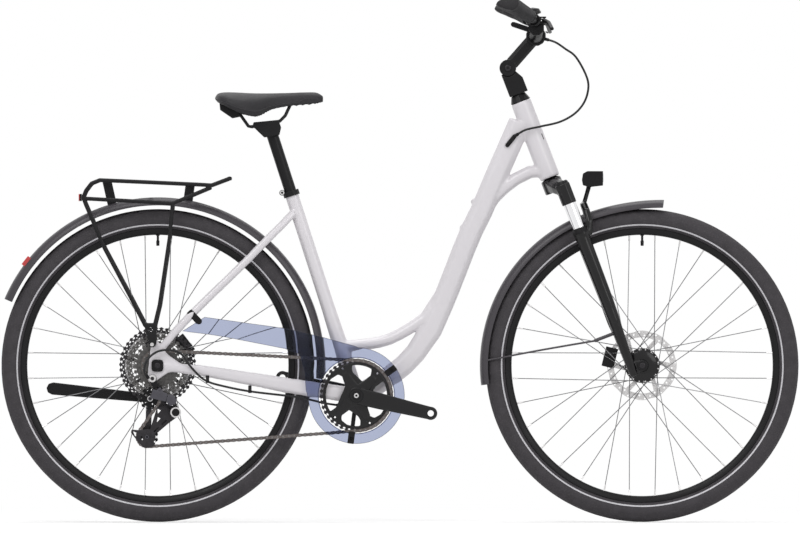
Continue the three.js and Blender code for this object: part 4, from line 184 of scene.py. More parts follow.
def lathe(profile, steps, centre=(0, 0, 0), axis=SIDE, wave=None):
    """Turns a closed outline of (radius, place along the axis) into a ring or a disc"""
    axis = Vector(axis).normalized()
    u = axis.orthogonal().normalized() if axis != SIDE else FORWARD
    w = axis.cross(u) if axis != SIDE else UP
    centre = Vector(centre)
    verts, faces = [], []
    count = len(profile)
    for i, a in enumerate(turns(steps)):
        way = u * math.cos(a) + w * math.sin(a)
        for j, (r, y) in enumerate(profile):
            lift = wave(i, j) if wave else 0
            verts.append(centre + way * (r + lift) + axis * y)
    for i in range(steps):
        a, b = i * count, (i + 1) % steps * count
        for j in range(count):
            k = (j + 1) % count
            if profile[j][0] < 1e-9 and profile[k][0] < 1e-9:
                continue
            faces.append((a + j, a + k, b + k, b + j))
    return Shell().add(verts, faces)


def smoothed(points, steps):
    """Points along a smooth curve through the given ones, evenly spread"""
    pts = [Vector(p) for p in points]
    dense = []
    for i in range(len(pts) - 1):
        p0 = pts[max(i - 1, 0)]
        p1, p2 = pts[i], pts[i + 1]
        p3 = pts[min(i + 2, len(pts) - 1)]
        for k in range(12):
            t = k / 12
            dense.append(0.5 * (2 * p1 + (p2 - p0) * t + (2 * p0 - 5 * p1 + 4 * p2 - p3) * t * t
                                + (3 * p1 - p0 - 3 * p2 + p3) * t ** 3))
    dense.append(pts[-1])
    lengths = [0.0]
    for a, b in zip(dense, dense[1:]):
        lengths.append(lengths[-1] + (b - a).length)
    out, j = [], 0
    for k in range(steps + 1):
        want = lengths[-1] * k / steps
        while j < len(dense) - 2 and lengths[j + 1] < want:
            j += 1
        gap = max(lengths[j + 1] - lengths[j], 1e-9)
        out.append(dense[j].lerp(dense[j + 1], min(1, max(0, (want - lengths[j]) / gap))))
    return out


def sweep(path, widths, heights=None, sides=16, reference=SIDE, power=1.0):
    """A tube along a path, with half widths along the reference and half heights across it"""
    path = [Vector(p) for p in path]
    count = len(path)
    widths = widths if isinstance(widths, (list, tuple)) else [widths] * count
    heights = widths if heights is None else heights
    heights = heights if isinstance(heights, (list, tuple)) else [heights] * count
    rings, last = [], None
    for i, p in enumerate(path):
        ahead = (path[min(i + 1, count - 1)] - path[max(i - 1, 0)]).normalized()
        guide = reference if reference is not None else (last or ahead.orthogonal())
        last = (guide - ahead * guide.dot(ahead)).normalized()
        rise = last.cross(ahead)
        rings.append([])
        for a in turns(sides, 0.5):
            c, s = (math.copysign(abs(v) ** power, v) for v in (math.cos(a), math.sin(a)))
            rings[-1].append(p + last * widths[i] * c + rise * heights[i] * s)
    return loft(rings, turned=True)


def rod(a, b, radius, sides=16):
    """A straight round rod"""
    return sweep([a, b], radius, sides=sides, reference=None)


def tapered(a, b, profile, sides=20):
    """A round piece from a to b, with its radius given at shares of the way"""
    a, b = Vector(a), Vector(b)
    axis = (b - a).normalized()
    u = axis.orthogonal().normalized()
    w = axis.cross(u)
    return loft([[a + (b - a) * share + u * radius * math.cos(t) + w * radius * math.sin(t) for t in turns(sides)]
                 for share, radius in profile])


def bolt(place, axis, radius, height, socket=True):
    """A round bolt head, domed or with a hexagon socket, its foot at the given place"""
    axis, place = Vector(axis).normalized(), Vector(place)
    u = axis.orthogonal().normalized()
    w = axis.cross(u)
    domed = [(1, 0), (0.97, 0.4), (0.75, 0.85), (0.3, 1)]
    rings = []
    for r, h in [(1, 0), (1, 0.7), (0.86, 1), (0.5, 1), (0.5, 0.35)] if socket else domed:
        rings.append([])
        for t in turns(18):
            six = 1 / math.cos((t % (math.pi / 3)) - math.pi / 6) * 0.9 if socket and r < 0.6 else 1
            rings[-1].append(place + u * radius * r * six * math.cos(t) + w * radius * r * six * math.sin(t)
                             + axis * height * h)
    return loft(rings)


def circle(x, z, radius, sides):
    """A round outline in the side view"""
    return [(x + radius * math.cos(t), z + radius * math.sin(t)) for t in turns(sides)]


def arc(x, z, radius, start, end, steps):
    """Part of a round outline, between two angles in degrees"""
    angles = [math.radians(start + (end - start) * k / steps) for k in range(steps + 1)]
    return [(x + radius * math.cos(t), z + radius * math.sin(t)) for t in angles]


def inside(loops, x, z):
    """Whether a place lies inside an odd number of the loops"""
    odd = False
    for loop in loops:
        for (ax, az), (bx, bz) in zip(loop, loop[1:] + loop[:1]):
            if (az > z) != (bz > z) and x < ax + (bx - ax) * (z - az) / (bz - az):
                odd = not odd
    return odd


def plate(outline, thickness, place, holes=()):
    """A flat plate in the side view, with its holes cut through"""
    loops = [[(x / MM, z / MM) for x, z in loop] for loop in [outline, *holes]]
    spots, edges = [], []
    for loop in loops:
        first, count = len(spots), len(loop)
        spots += [Vector(spot) for spot in loop]
        edges += [(first + k, first + (k + 1) % count) for k in range(count)]
    flat, _, triangles = delaunay_2d_cdt(spots, edges, [], 0, 1e-4)[:3]
    bm = bmesh.new()
    corners = [bm.verts.new((x * MM, place - thickness / 2, z * MM)) for x, z in flat]
    for face in triangles:
        x, z = (sum(flat[i][n] for i in face) / 3 for n in (0, 1))
        if inside(loops, x, z):
            bm.faces.new([corners[i] for i in face])
    bmesh.ops.delete(bm, geom=[v for v in bm.verts if not v.link_faces], context="VERTS")
    made = bmesh.ops.extrude_face_region(bm, geom=bm.faces[:] + bm.edges[:] + bm.verts[:])
    moved = [g for g in made["geom"] if isinstance(g, bmesh.types.BMVert)]
    bmesh.ops.translate(bm, verts=moved, vec=(0, thickness, 0))
    bmesh.ops.recalc_face_normals(bm, faces=bm.faces[:])
    bm.verts.index_update()
    shell = Shell().add([v.co.copy() for v in bm.verts], [[v.index for v in f.verts] for f in bm.faces])
    bm.free()
    return shell


def softened(loop, cut):
    """A closed outline with each corner cut back and rounded"""
    out = []
    for before, spot, after in zip(loop[-1:] + loop[:-1], loop, loop[1:] + loop[:1]):
        spot = Vector(spot)
        ends = []
        for other in (before, after):
            way = Vector(other) - spot
            ends.append(spot + way.normalized() * min(cut, way.length * 0.4))
        middle = ends[0] * 0.25 + spot * 0.5 + ends[1] * 0.25
        out += [tuple(ends[0]), tuple(middle), tuple(ends[1])]
    return out


def ring(place, axis, inner, outer, height, sides=40):
    """A washer with a soft outer edge, its foot at the given place"""
    edge = min(height * 0.4, 0.6 * MM)
    return lathe([(inner, 0), (outer, 0), (outer, height - edge), (outer - edge, height), (inner, height)], sides,
                 place, axis)


def pixel(px, py, y=0.0):
    """A place in the side view, from where it lies in the picture"""
    return Vector(((px - PICTURE_MIDDLE) * PIXEL, y, (PICTURE_GROUND - py) * PIXEL))


def between(a, b, shares):
    """Places in the side view given as shares along and across the way from a to b"""
    dx, dz = b.x - a.x, b.z - a.z
    return [Vector((a.x + dx * s - dz * o, 0, a.z + dz * s + dx * o)) for s, o in shares]


def side_view(points):
    """The outline in the side view that runs through the given places"""
    return [(p.x, p.z) for p in points]


def pictured(spots, cut):
    """A softened outline in the side view, from its corners in the picture"""
    return softened(side_view([pixel(*spot) for spot in spots]), cut)


def finish_mesh(mesh, angle=35):
    """Joins double corners, turns the faces outwards and smooths all but the sharp edges"""
    bm = bmesh.new()
    bm.from_mesh(mesh)
    bmesh.ops.remove_doubles(bm, verts=bm.verts[:], dist=1e-7)
    bmesh.ops.recalc_face_normals(bm, faces=bm.faces[:])
    bm.to_mesh(mesh)
    bm.free()
    for face in mesh.polygons:
        face.use_smooth = True
    mesh.set_sharp_from_angle(angle=math.radians(angle))


def mesh_of(name, shell, angle=35):
    """A finished mesh made of a shell"""
    mesh = bpy.data.meshes.new(name)
    mesh.from_pydata([tuple(v) for v in shell.verts], [], shell.faces)
    mesh.validate()
    finish_mesh(mesh, angle)
    return mesh


def stand(name, data):
    """A new object in the scene"""
    obj = bpy.data.objects.new(name, data)
    bpy.context.scene.collection.objects.link(obj)
    return obj


def settle(obj, steps):
    """Adds modifiers in order and keeps their result as the mesh"""
    for i, (kind, values) in enumerate(steps):
        modifier = obj.modifiers.new(f"step{i}", kind)
        for key, value in values.items():
            setattr(modifier, key, value)
    bpy.context.view_layer.update()
    graph = bpy.context.evaluated_depsgraph_get()
    mesh = bpy.data.meshes.new_from_object(obj.evaluated_get(graph))
    obj.modifiers.clear()
    obj.data = mesh


def tie(obj, body, finish, stands_for=()):
    """Gives an object its finish, ties it to its body and hides the nodes that it replaces"""
    obj.data.materials.clear()
    obj.data.materials.append(LOOKS[finish])
    if body:
        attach(obj, body)
    if stands_for:
        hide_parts(*stands_for)
    return obj


def place_piece(name, shell, body, finish, stands_for=(), angle=35, bevel=0.0):
    """Makes an object of a shell, gives it its finish and ties it to its body"""
    obj = stand(name, mesh_of(name, shell, angle))
    if bevel:
        settle(obj, [("BEVEL", {"width": bevel, "segments": 2, "limit_method": "ANGLE",
                                "angle_limit": math.radians(40)})])
        finish_mesh(obj.data, angle)
    return tie(obj, body, finish, stands_for)


def rounded(name, node, body, finish, voxel, passes, grow=0.0, extra=None, own=None):
    """A node's solid, or an own shell in its place, fused and rounded into one cast surface"""
    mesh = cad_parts[node].data.copy() if own is None else mesh_of(name, own)
    if extra is not None:
        bm = bmesh.new()
        bm.from_mesh(mesh)
        added = mesh_of("added", extra)
        bm.from_mesh(added)
        bm.to_mesh(mesh)
        bm.free()
        bpy.data.meshes.remove(added)
    obj = stand(name, mesh)
    steps = [("REMESH", {"mode": "VOXEL", "voxel_size": voxel, "use_smooth_shade": True}),
             ("SMOOTH", {"factor": 0.5, "iterations": passes})]
    if grow:
        steps.append(("DISPLACE", {"strength": grow, "mid_level": 0.0, "direction": "NORMAL"}))
    settle(obj, steps)
    for face in obj.data.polygons:
        face.use_smooth = True
    return tie(obj, body, finish, [node])


def drill(obj, shell):
    """Cuts a closed shell out of an object"""
    tool = stand("drill", mesh_of("drill", shell))
    materials = list(obj.data.materials)
    settle(obj, [("BOOLEAN", {"operation": "DIFFERENCE", "object": tool, "solver": "FAST"})])
    obj.data.materials.clear()
    for material in materials:
        obj.data.materials.append(material)
    bpy.data.objects.remove(tool)
    obj.data.set_sharp_from_angle(angle=math.radians(50))


# Materials

def wiring(tree):
    """Clears a node tree and returns a function that adds a node to it, with its inputs and settings"""
    tree.nodes.clear()

    def node(kind, inputs=None, **settings):
        made = tree.nodes.new("ShaderNode" + kind)
        for key, value in settings.items():
            setattr(made, key, value)
        for key, value in (inputs or {}).items():
            if isinstance(value, bpy.types.NodeSocket):
                tree.links.new(value, made.inputs[key])
            else:
                made.inputs[key].default_value = value
        return made

    return node


def look(name, colour, roughness, metallic=0.0, vary=0.08, vary_scale=25.0, rough_vary=0.06, bump=0.0,
         bump_scale=900.0, bump_kind="noise", coat=0.0, sheen=0.0, dust=None, transmission=0.0, specular=0.5):
    """A procedural finish: cloudy colour, uneven gloss and a fine relief"""
    mat = bpy.data.materials.new(name)
    mat.use_nodes = True
    node = wiring(mat.node_tree)
    place = node("TexCoord").outputs["Object"]
    cloud = node("TexNoise", {"Vector": place, "Scale": vary_scale, "Detail": 4}).outputs["Fac"]
    ramp = node("ValToRGB", {"Fac": cloud})
    for element, spot, share in zip(ramp.color_ramp.elements, (0.3, 0.7), (1 - vary, 1 + vary)):
        element.position = spot
        element.color = (*[min(1, c * share) for c in colour], 1)
    base = ramp.outputs["Color"]
    if dust is not None:
        speck = node("TexNoise", {"Vector": place, "Scale": 340, "Detail": 2}).outputs["Fac"]
        limit = node("MapRange", {"Value": speck, "From Min": 0.56, "From Max": 0.72, "To Max": 0.5})
        base = node("Mix", {"Factor": limit.outputs["Result"], "A": base, "B": (*dust, 1)},
                    data_type="RGBA").outputs["Result"]
    rough = node("MapRange", {"Value": cloud, "From Min": 0.3, "From Max": 0.7,
                              "To Min": max(0.02, roughness - rough_vary),
                              "To Max": min(1.0, roughness + rough_vary)})
    inputs = {"Base Color": base, "Roughness": rough.outputs["Result"], "Metallic": metallic,
              "Specular IOR Level": specular}
    if coat:
        inputs.update({"Coat Weight": coat, "Coat Roughness": 0.06})
    if sheen:
        inputs.update({"Sheen Weight": sheen, "Sheen Roughness": 0.4})
    if transmission:
        inputs.update({"Transmission Weight": transmission, "IOR": 1.2})
    if bump:
        if bump_kind == "cells":
            relief = node("TexVoronoi", {"Vector": place, "Scale": bump_scale}, feature="F1").outputs["Distance"]
        else:
            relief = node("TexNoise", {"Vector": place, "Scale": bump_scale, "Detail": 3}).outputs["Fac"]
        inputs["Normal"] = node("Bump", {"Strength": bump, "Distance": 0.0004, "Height": relief}).outputs["Normal"]
    node("OutputMaterial", {"Surface": node("BsdfPrincipled", inputs).outputs["BSDF"]})
    return mat


# Each finish's material, made by make_looks
LOOKS = {}


def make_looks():
    """Makes every material once; the levers, the saddle clamp and the chain's rollers share another's"""
    LOOKS.update(
        paint=look("frame_paint", (0.70, 0.675, 0.705), 0.30, vary=0.02, vary_scale=6, rough_vary=0.03, coat=0.35,
                   bump=0.05, bump_scale=1400),
        gloss=look("black_gloss", (0.005, 0.0047, 0.0053), 0.20, vary=0.2, vary_scale=12, rough_vary=0.04,
                   coat=0.25, bump=0.04, bump_scale=1500, specular=0.2),
        satin=look("black_satin", (0.007, 0.0067, 0.0075), 0.40, vary=0.15, vary_scale=30, bump=0.12,
                   bump_scale=1800, specular=0.2),
        anodised=look("grey_anodised", (0.075, 0.073, 0.085), 0.34, metallic=0.7, vary=0.08, vary_scale=60,
                      bump=0.1, bump_scale=1600, specular=0.4),
        plastic=look("black_plastic", (0.009, 0.0086, 0.0095), 0.5, vary=0.15, vary_scale=40, bump=0.3,
                     bump_scale=1500, specular=0.15),
        rack=look("rack_paint", (0.009, 0.0086, 0.0095), 0.40, vary=0.12, vary_scale=30, bump=0.2,
                  bump_scale=2000, specular=0.2),
        guard=look("guard_plastic", (0.046, 0.041, 0.048), 0.36, vary=0.08, vary_scale=10, bump=0.08,
                   bump_scale=1200, specular=0.4),
        tyre=look("tyre_rubber", (0.046, 0.042, 0.047), 0.72, vary=0.2, vary_scale=50, bump=0.35,
                  bump_scale=700, dust=(0.085, 0.08, 0.08), specular=0.3),
        stripe=look("tyre_stripe", (0.62, 0.61, 0.64), 0.35, vary=0.06, vary_scale=120, bump=0.2,
                    bump_scale=2600, bump_kind="cells"),
        grip=look("grip_rubber", (0.017, 0.016, 0.018), 0.62, vary=0.12, vary_scale=60, bump=0.6,
                  bump_scale=950, bump_kind="cells", specular=0.3),
        chrome=look("stanchion_chrome", (0.82, 0.82, 0.83), 0.08, metallic=1.0, vary=0.03, vary_scale=30,
                    rough_vary=0.03, bump=0.03, bump_scale=2200),
        steel=look("bright_steel", (0.62, 0.61, 0.61), 0.30, metallic=1.0, vary=0.1, vary_scale=180,
                   bump=0.2, bump_scale=1300),
        spoke=look("spoke_steel", (0.20, 0.20, 0.205), 0.28, metallic=1.0, vary=0.08, vary_scale=70,
                   bump=0.05, bump_scale=1300),
        dark=look("dark_steel", (0.030, 0.028, 0.031), 0.36, metallic=0.5, vary=0.2, vary_scale=120, bump=0.15,
                  bump_scale=1500, specular=0.3),
        cog=look("cog_steel", (0.10, 0.097, 0.095), 0.34, metallic=1.0, vary=0.3, vary_scale=200, bump=0.2,
                 bump_scale=1200),
        chain=look("chain_steel", (0.13, 0.115, 0.11), 0.36, metallic=1.0, vary=0.25, vary_scale=240, bump=0.1,
                   bump_scale=1500),
        smoke=look("smoke_plastic", (0.42, 0.46, 0.61), 0.05, vary=0.02, vary_scale=14, rough_vary=0.01,
                   transmission=1.0),
        edge=look("smoke_edge", (0.03, 0.032, 0.05), 0.3, vary=0.1, vary_scale=40, bump=0.05, bump_scale=900,
                  specular=0.3),
        red=look("red_lens", (0.52, 0.02, 0.02), 0.14, vary=0.1, vary_scale=60, coat=0.6, bump=0.5,
                 bump_scale=520, bump_kind="cells"),
        lens=look("clear_lens", (0.55, 0.57, 0.60), 0.10, vary=0.06, vary_scale=90, coat=0.8, bump=0.4,
                  bump_scale=420, bump_kind="cells"),
        leather=look("saddle_skin", (0.013, 0.012, 0.0145), 0.5, vary=0.15, vary_scale=45, bump=0.5,
                     bump_scale=1100, bump_kind="cells", sheen=0.06, specular=0.35),
        thread=look("saddle_thread", (0.03, 0.029, 0.032), 0.8, vary=0.25, vary_scale=900, bump=0.8,
                    bump_scale=1600),
        sleeve=look("cable_sleeve", (0.009, 0.009, 0.010), 0.36, vary=0.12, vary_scale=60, bump=0.08,
                    bump_scale=1500, specular=0.3),
    )
    LOOKS.update(lever=LOOKS["satin"], clamp=LOOKS["satin"], roller=LOOKS["spoke"])


# Wheels

def tyre_profile(sizes):
    """The outline of the tyre's cross-section, from one bead round the crown to the other"""
    half = sizes.tyre_width / 2
    base = sizes.rim_radius - 3.9 * MM
    crown = sizes.outer_radius
    shape = [(0.0, 0.34), (0.04, 0.37), (0.10, 0.49), (0.17, 0.66), (0.25, 0.81), (0.34, 0.92), (0.43, 0.975),
             (0.52, 0.99), (0.61, 0.97), (0.69, 0.925), (0.765, 0.86), (0.83, 0.775), (0.885, 0.67),
             (0.93, 0.55), (0.962, 0.41), (0.985, 0.25), (0.997, 0.09)]
    right = [(base + (crown - base) * d, -half * w) for d, w in shape]
    left = [(r, -y) for r, y in reversed(right)]
    return right + left


def tyre_shell(sizes, centre):
    """A tyre with rows of tread blocks over its crown and shoulders"""
    profile = tyre_profile(sizes)
    count = len(profile)
    rows = count // 2

    def wave(i, j):
        row = j if j < rows else count - 1 - j
        if row < 9:
            return 0
        beat = (i + (row - 9) // 2 * 2 + (0 if j < rows else 2)) % 4
        if row >= 15:
            return -0.5 * MM if beat == 0 else 0
        return -1.8 * MM if beat == 0 or row in (9, 14) else 0

    return lathe(profile, sizes.steps, centre, wave=wave)


def stripe_shell(sizes, centre, side):
    """The pale reflecting band on one side wall"""
    profile = tyre_profile(sizes)[:17]
    inner, outer = 0.3210, 0.3243

    def width(r):
        """Half the tyre's width at a radius"""
        for (r0, y0), (r1, y1) in zip(profile, profile[1:]):
            if r0 <= r <= r1:
                return -(y0 + (y1 - y0) * (r - r0) / (r1 - r0))
        raise RuntimeError("the band lies off the side wall")

    proud = 0.35 * MM
    steps = [inner + (outer - inner) * k / 4 for k in range(5)]
    top = [(r, side * (width(r) + proud)) for r in steps]
    foot = [(r, side * (width(r) - proud)) for r in reversed(steps)]
    return lathe(top + foot, 180, centre)


def rim_shell(sizes, centre):
    """A double-wall rim with flat sides, hooks and a rounded floor"""
    r, d, w = sizes.rim_radius, sizes.rim_depth, sizes.rim_width / 2
    half = [(r - d, 0.0), (r - d + 0.2 * MM, 4.4 * MM), (r - d + 1.4 * MM, 7.4 * MM), (r - d + 4 * MM, 9.6 * MM),
            (r - 4 * MM, w - 0.4 * MM), (r - 0.8 * MM, w), (r, w - 0.7 * MM), (r, w - 1.6 * MM),
            (r - 2.6 * MM, w - 2.0 * MM), (r - 4.0 * MM, w - 3.2 * MM), (r - 4.2 * MM, 0.0)]
    other = [(a, -b) for a, b in reversed(half[1:-1])]
    return lathe(half + other, 180, centre)


def spoke_shells(sizes, centre, flanges, rim_lean=2.5 * MM):
    """Crossed spokes with their elbows, and a nipple at each end in the rim"""
    wires, nipples = Shell(), Shell()
    count = sizes.spokes
    pitch = 2 * math.pi / count
    reach = sizes.rim_radius - sizes.rim_depth
    for k in range(count):
        place, radius = flanges[k % 2]
        turn = 1 if (k // 2) % 2 == 0 else -1
        rim_angle = (k + 0.5) * pitch
        hub_angle = rim_angle + turn * math.radians(67.5)
        side = -1 if k % 2 == 0 else 1
        head = place + turn * 2.2 * MM
        start = centre + Vector((radius * math.cos(hub_angle), head, radius * math.sin(hub_angle)))
        end = centre + Vector((reach * math.cos(rim_angle), side * rim_lean, reach * math.sin(rim_angle)))
        way = (end - start).normalized()
        wires.join(rod(start - way * 1.5 * MM, end, sizes.spoke_radius, 6))
        wires.join(rod(start - SIDE * turn * 4.4 * MM, start + SIDE * turn * 0.6 * MM, sizes.spoke_radius * 2, 8))
        nipples.join(tapered(end - way * 13 * MM, end + way * 1 * MM,
                             [(0, 1.3 * MM), (0.1, 2.0 * MM), (0.85, 2.0 * MM), (1, 3.2 * MM)], 8))
    return wires, nipples


def valve_shell(sizes, centre):
    """The inner tube's valve with its nut and cap, from the rim towards the hub"""
    top = sizes.rim_radius - sizes.rim_depth
    return tapered(centre + UP * (top - 25 * MM), centre + UP * (top + 2 * MM), [
        (0, 2.6 * MM), (0.03, 3.6 * MM), (0.44, 3.9 * MM), (0.45, 2.7 * MM), (0.86, 2.7 * MM), (0.87, 4.4 * MM),
        (1, 4.4 * MM)], 16)


def front_hub_shell(centre):
    """The dynamo hub: a flat drum on the drive side and a flange by the rotor"""
    half = [(6.4, -49.4), (12.6, -49.4), (13, -48.8), (13, -41), (14.5, -38.6), (32.5, -38.2), (34, -37.2),
            (34, -34.8), (38.8, -34.4), (40, -33.2), (40, -31.4), (38.9, -30.4), (35.6, -30.2), (34.4, -29.2),
            (34.2, -13), (32.4, -10.6), (24.6, -9.4), (24, -8.2), (24, 20.6), (25, 22.2), (32, 24.2), (33, 25),
            (33, 27), (32, 27.8), (23.4, 29), (22, 31), (22, 38.0), (16.6, 38.0), (16.6, 43.4), (13, 43.6),
            (13, 49.4), (6.4, 49.4)]
    return lathe(metres(half), 72, centre)


def rear_hub_shell(centre):
    """The rear hub: a slim barrel between two flanges, its carrier for the cogs on the drive side"""
    half = [(6.4, -23), (15.6, -23), (16.4, -22), (29, -21.8), (30, -21), (30, -19), (29, -18.2), (18, -16),
            (16, -13.4), (16, 26.4), (18, 29.4), (29, 31.4), (30, 32.2), (30, 34), (29, 34.8), (23, 36.4),
            (22, 38), (22, 50.4), (16.6, 50.4), (16.6, 56.4), (11, 56.8), (11, 67), (6.4, 67)]
    return lathe(metres(half), 64, centre)


def rotor_shell(centre, place):
    """A brake disc with a scalloped edge, drilled track and slim curved arms"""
    outline = []
    for a in turns(144):
        r = 80 * MM - 1.6 * MM * (0.5 - 0.5 * math.cos(12 * a)) ** 2
        outline.append((centre.x + r * math.cos(a), centre.z + r * math.sin(a)))
    holes = [circle(centre.x, centre.z, 17 * MM, 36)]
    for k, a in enumerate(turns(36, 0.5)):
        r = (76.4, 72.6, 68.9)[k % 3] * MM
        holes.append(circle(centre.x + r * math.cos(a), centre.z + r * math.sin(a), 2.3 * MM, 8))
    for k in range(6):
        turn = 60 * k
        outer = arc(0, 0, 64.5 * MM, turn + 5, turn + 55, 10)
        inner = arc(0, 0, 23 * MM, turn + 76, turn + 44, 5)
        holes.append([(centre.x + x, centre.z + z) for x, z in outer + inner])
    return plate(outline, 1.9 * MM, place, holes)


def rotor_lock(centre, place):
    """The notched lock ring that holds a brake disc on its hub"""
    notch = lambda i, j: -1.6 * MM if (i // 2) % 2 and j in (2, 3) else 0
    profile = [(13.4, 1), (20.5, 1), (21.6, 1.6), (21.6, 3.2), (18.4, 4), (13.4, 4)]
    return lathe([(r * MM, place + y * MM) for r, y in profile], 72, centre, wave=notch)


def build_wheel(sizes, end, centre, body, hub, flanges, rotor_place, tag):
    """All the pieces of one wheel: tyre, bands, rim, valve, hub, spokes, nipples and brake disc"""
    place_piece(f"tyre_{end}_tread", tyre_shell(sizes, centre), body, "tyre", [f"tyre_{end}"], angle=50)
    for side, name in ((-1, "right"), (1, "left")):
        place_piece(f"tyre_{end}_band_{name}", stripe_shell(sizes, centre, side), body, "stripe")
    place_piece(f"rim_{end}_wall", rim_shell(sizes, centre), body, "satin", [f"rim_{end}"])
    place_piece(f"valve_{end}", valve_shell(sizes, centre), body, "plastic")
    wires, nipples = spoke_shells(sizes, centre, flanges)
    place_piece(f"hub_{end}_shell", hub(centre), body, "gloss", [tag])
    place_piece(f"spokes_{end}", wires, body, "spoke")
    place_piece(f"nipples_{end}", nipples, body, "steel")
    place_piece(f"rotor_{end}_disc", rotor_shell(centre, rotor_place), body, "steel", [f"rotor_{end}"])
    place_piece(f"rotor_{end}_lock", rotor_lock(centre, rotor_place), body, "dark")


class BICYCLE_OT_wheels(bpy.types.Operator):
    """Build the tyres, rims, spokes, hubs and brake discs"""
    bl_idname = "bicycle.wheels"
    bl_label = "Wheels"

    def execute(self, context):
        sizes = context.scene.bicycle_wheels
        build_wheel(sizes, "front", FRONT_AXLE, "front_wheel", front_hub_shell,
                    [(-32.0 * MM, 36.6 * MM), (26 * MM, 29.6 * MM)], 39.5 * MM, "hub_dynamo_front_with_spokes")
        build_wheel(sizes, "rear", REAR_AXLE, "rear_wheel", rear_hub_shell,
                    [(-20 * MM, 27 * MM), (33 * MM, 27 * MM)], 52 * MM, "hub_rear_with_spokes")
        heads = Shell()
        for a in turns(16, 0.5):
            heads.join(bolt(FRONT_AXLE + Vector((36.8 * MM * math.cos(a), -34.3 * MM, 36.8 * MM * math.sin(a))),
                            -SIDE, 1.9 * MM, 1.0 * MM, socket=False))
        place_piece("spoke_heads_front", heads, "front_wheel", "steel")
        return {"FINISHED"}


class BICYCLE_OT_axles(bpy.types.Operator):
    """Build the axles with their end caps and nuts"""
    bl_idname = "bicycle.axles"
    bl_label = "Axles"

    def execute(self, context):
        for node, body in (("axle_front", "fork_legs"), ("axle_rear", "frame_body")):
            rounded(f"{node}_caps", node, body, "satin", 0.7 * MM, 6)
        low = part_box("axle_rear")[0]
        ends = bolt((REAR_AXLE.x, low[1], REAR_AXLE.z), -SIDE, 6.5 * MM, 1.5 * MM)
        place_piece("axle_rear_bolt", ends, "frame_body", "dark")
        square = [(REAR_AXLE.x + x * 13.4 * MM, REAR_AXLE.z + z * 13.8 * MM)
                  for x, z in ((-1, -1), (1, -1), (1, 1), (-1, 1))]
        cover = plate(softened(square, 7 * MM), 4.4 * MM, low[1] + 1.4 * MM,
                      [circle(REAR_AXLE.x, REAR_AXLE.z, 7.4 * MM, 32)])
        place_piece("axle_rear_cover", cover, "frame_body", "plastic", bevel=0.8 * MM)
        low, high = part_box("axle_front")
        ends = bolt((FRONT_AXLE.x, low[1], FRONT_AXLE.z), -SIDE, 6.5 * MM, 1.5 * MM)
        ends.join(bolt((FRONT_AXLE.x, high[1], FRONT_AXLE.z), SIDE, 6.5 * MM, 1.5 * MM))
        place_piece("axle_front_bolts", ends, "fork_legs", "dark")
        return {"FINISHED"}


# Frame and fork

def lengthened(ends):
    """The two ends of a rod, each a tenth of its length farther out"""
    a, b = ends
    return [a * 1.1 - b * 0.1, b * 1.1 - a * 0.1]


class BICYCLE_OT_frame(bpy.types.Operator):
    """Build the painted frame with its bosses, cable ports and bearings"""
    bl_idname = "bicycle.frame"
    bl_label = "Frame"

    def execute(self, context):
        sizes = context.scene.bicycle_frame
        head = [STEER_FOOT + STEER_UP * reach * MM for reach in (479, 664.6)]
        seat = [BRACKET + SEAT_UP * reach * MM for reach in (12, 488.4)]
        shell = [BRACKET + SIDE * side * 35.5 * MM for side in (-1, 1)]
        filling = Shell().join(rod(*head, 22.6 * MM, 48)).join(rod(*seat, 15 * MM, 40))
        filling.join(rod(*shell, 20 * MM, 40))
        surface = rounded("frame_surface", "frame", "frame_body", "paint", sizes.voxel, 26,
                          grow=0.7 * MM, extra=filling)
        drill(surface, rod(*lengthened(head), 17 * MM, 48))
        drill(surface, rod(BRACKET + SEAT_UP * 240 * MM, BRACKET + SEAT_UP * 500 * MM, 13.8 * MM, 40))
        drill(surface, rod(*lengthened(shell), 17.2 * MM, 40))
        self.fittings()
        for node, finish in (("headset_upper", "satin"), ("headset_lower", "dark")):
            rounded(f"{node}_ring", node, "frame_body", finish, 0.8 * MM, 5)
        rounded("seat_collar_band", "seat_collar", "frame_body", "satin", 0.7 * MM, 4)
        place = pixel(282.2, 192.8)
        clamp = sweep([place + SIDE * side * 8.8 * MM for side in (-1, 1)], 6.6 * MM, 6.6 * MM, 24,
                      reference=FORWARD)
        place_piece("seat_collar_bolt", clamp, "frame_body", "satin")
        collar_head = ring(place - SIDE * 8.6 * MM, -SIDE, 2.6 * MM, 5.6 * MM, 2.4 * MM)
        place_piece("seat_collar_bolt_head", collar_head, "frame_body", "steel")
        return {"FINISHED"}

    def fittings(self):
        """The bosses' screws and the cable port on the head tube"""
        screws = Shell()
        across = Vector((-0.9, 0, 0.42)).normalized()
        for px, py in ((472, 200.8), (461.2, 226.7)):
            screws.join(bolt(pixel(px, py) - across * 1.0 * MM, -across, 4.2 * MM, 3 * MM))
        place_piece("frame_boss_bolts", screws, "frame_body", "dark")
        place = pixel(541.6, 136.8, -13 * MM)
        port = sweep([place - STEER_UP * 7 * MM, place + STEER_UP * 7 * MM], 3.4 * MM, 3.6 * MM, 20)
        place_piece("frame_port", port, "frame_body", "plastic")


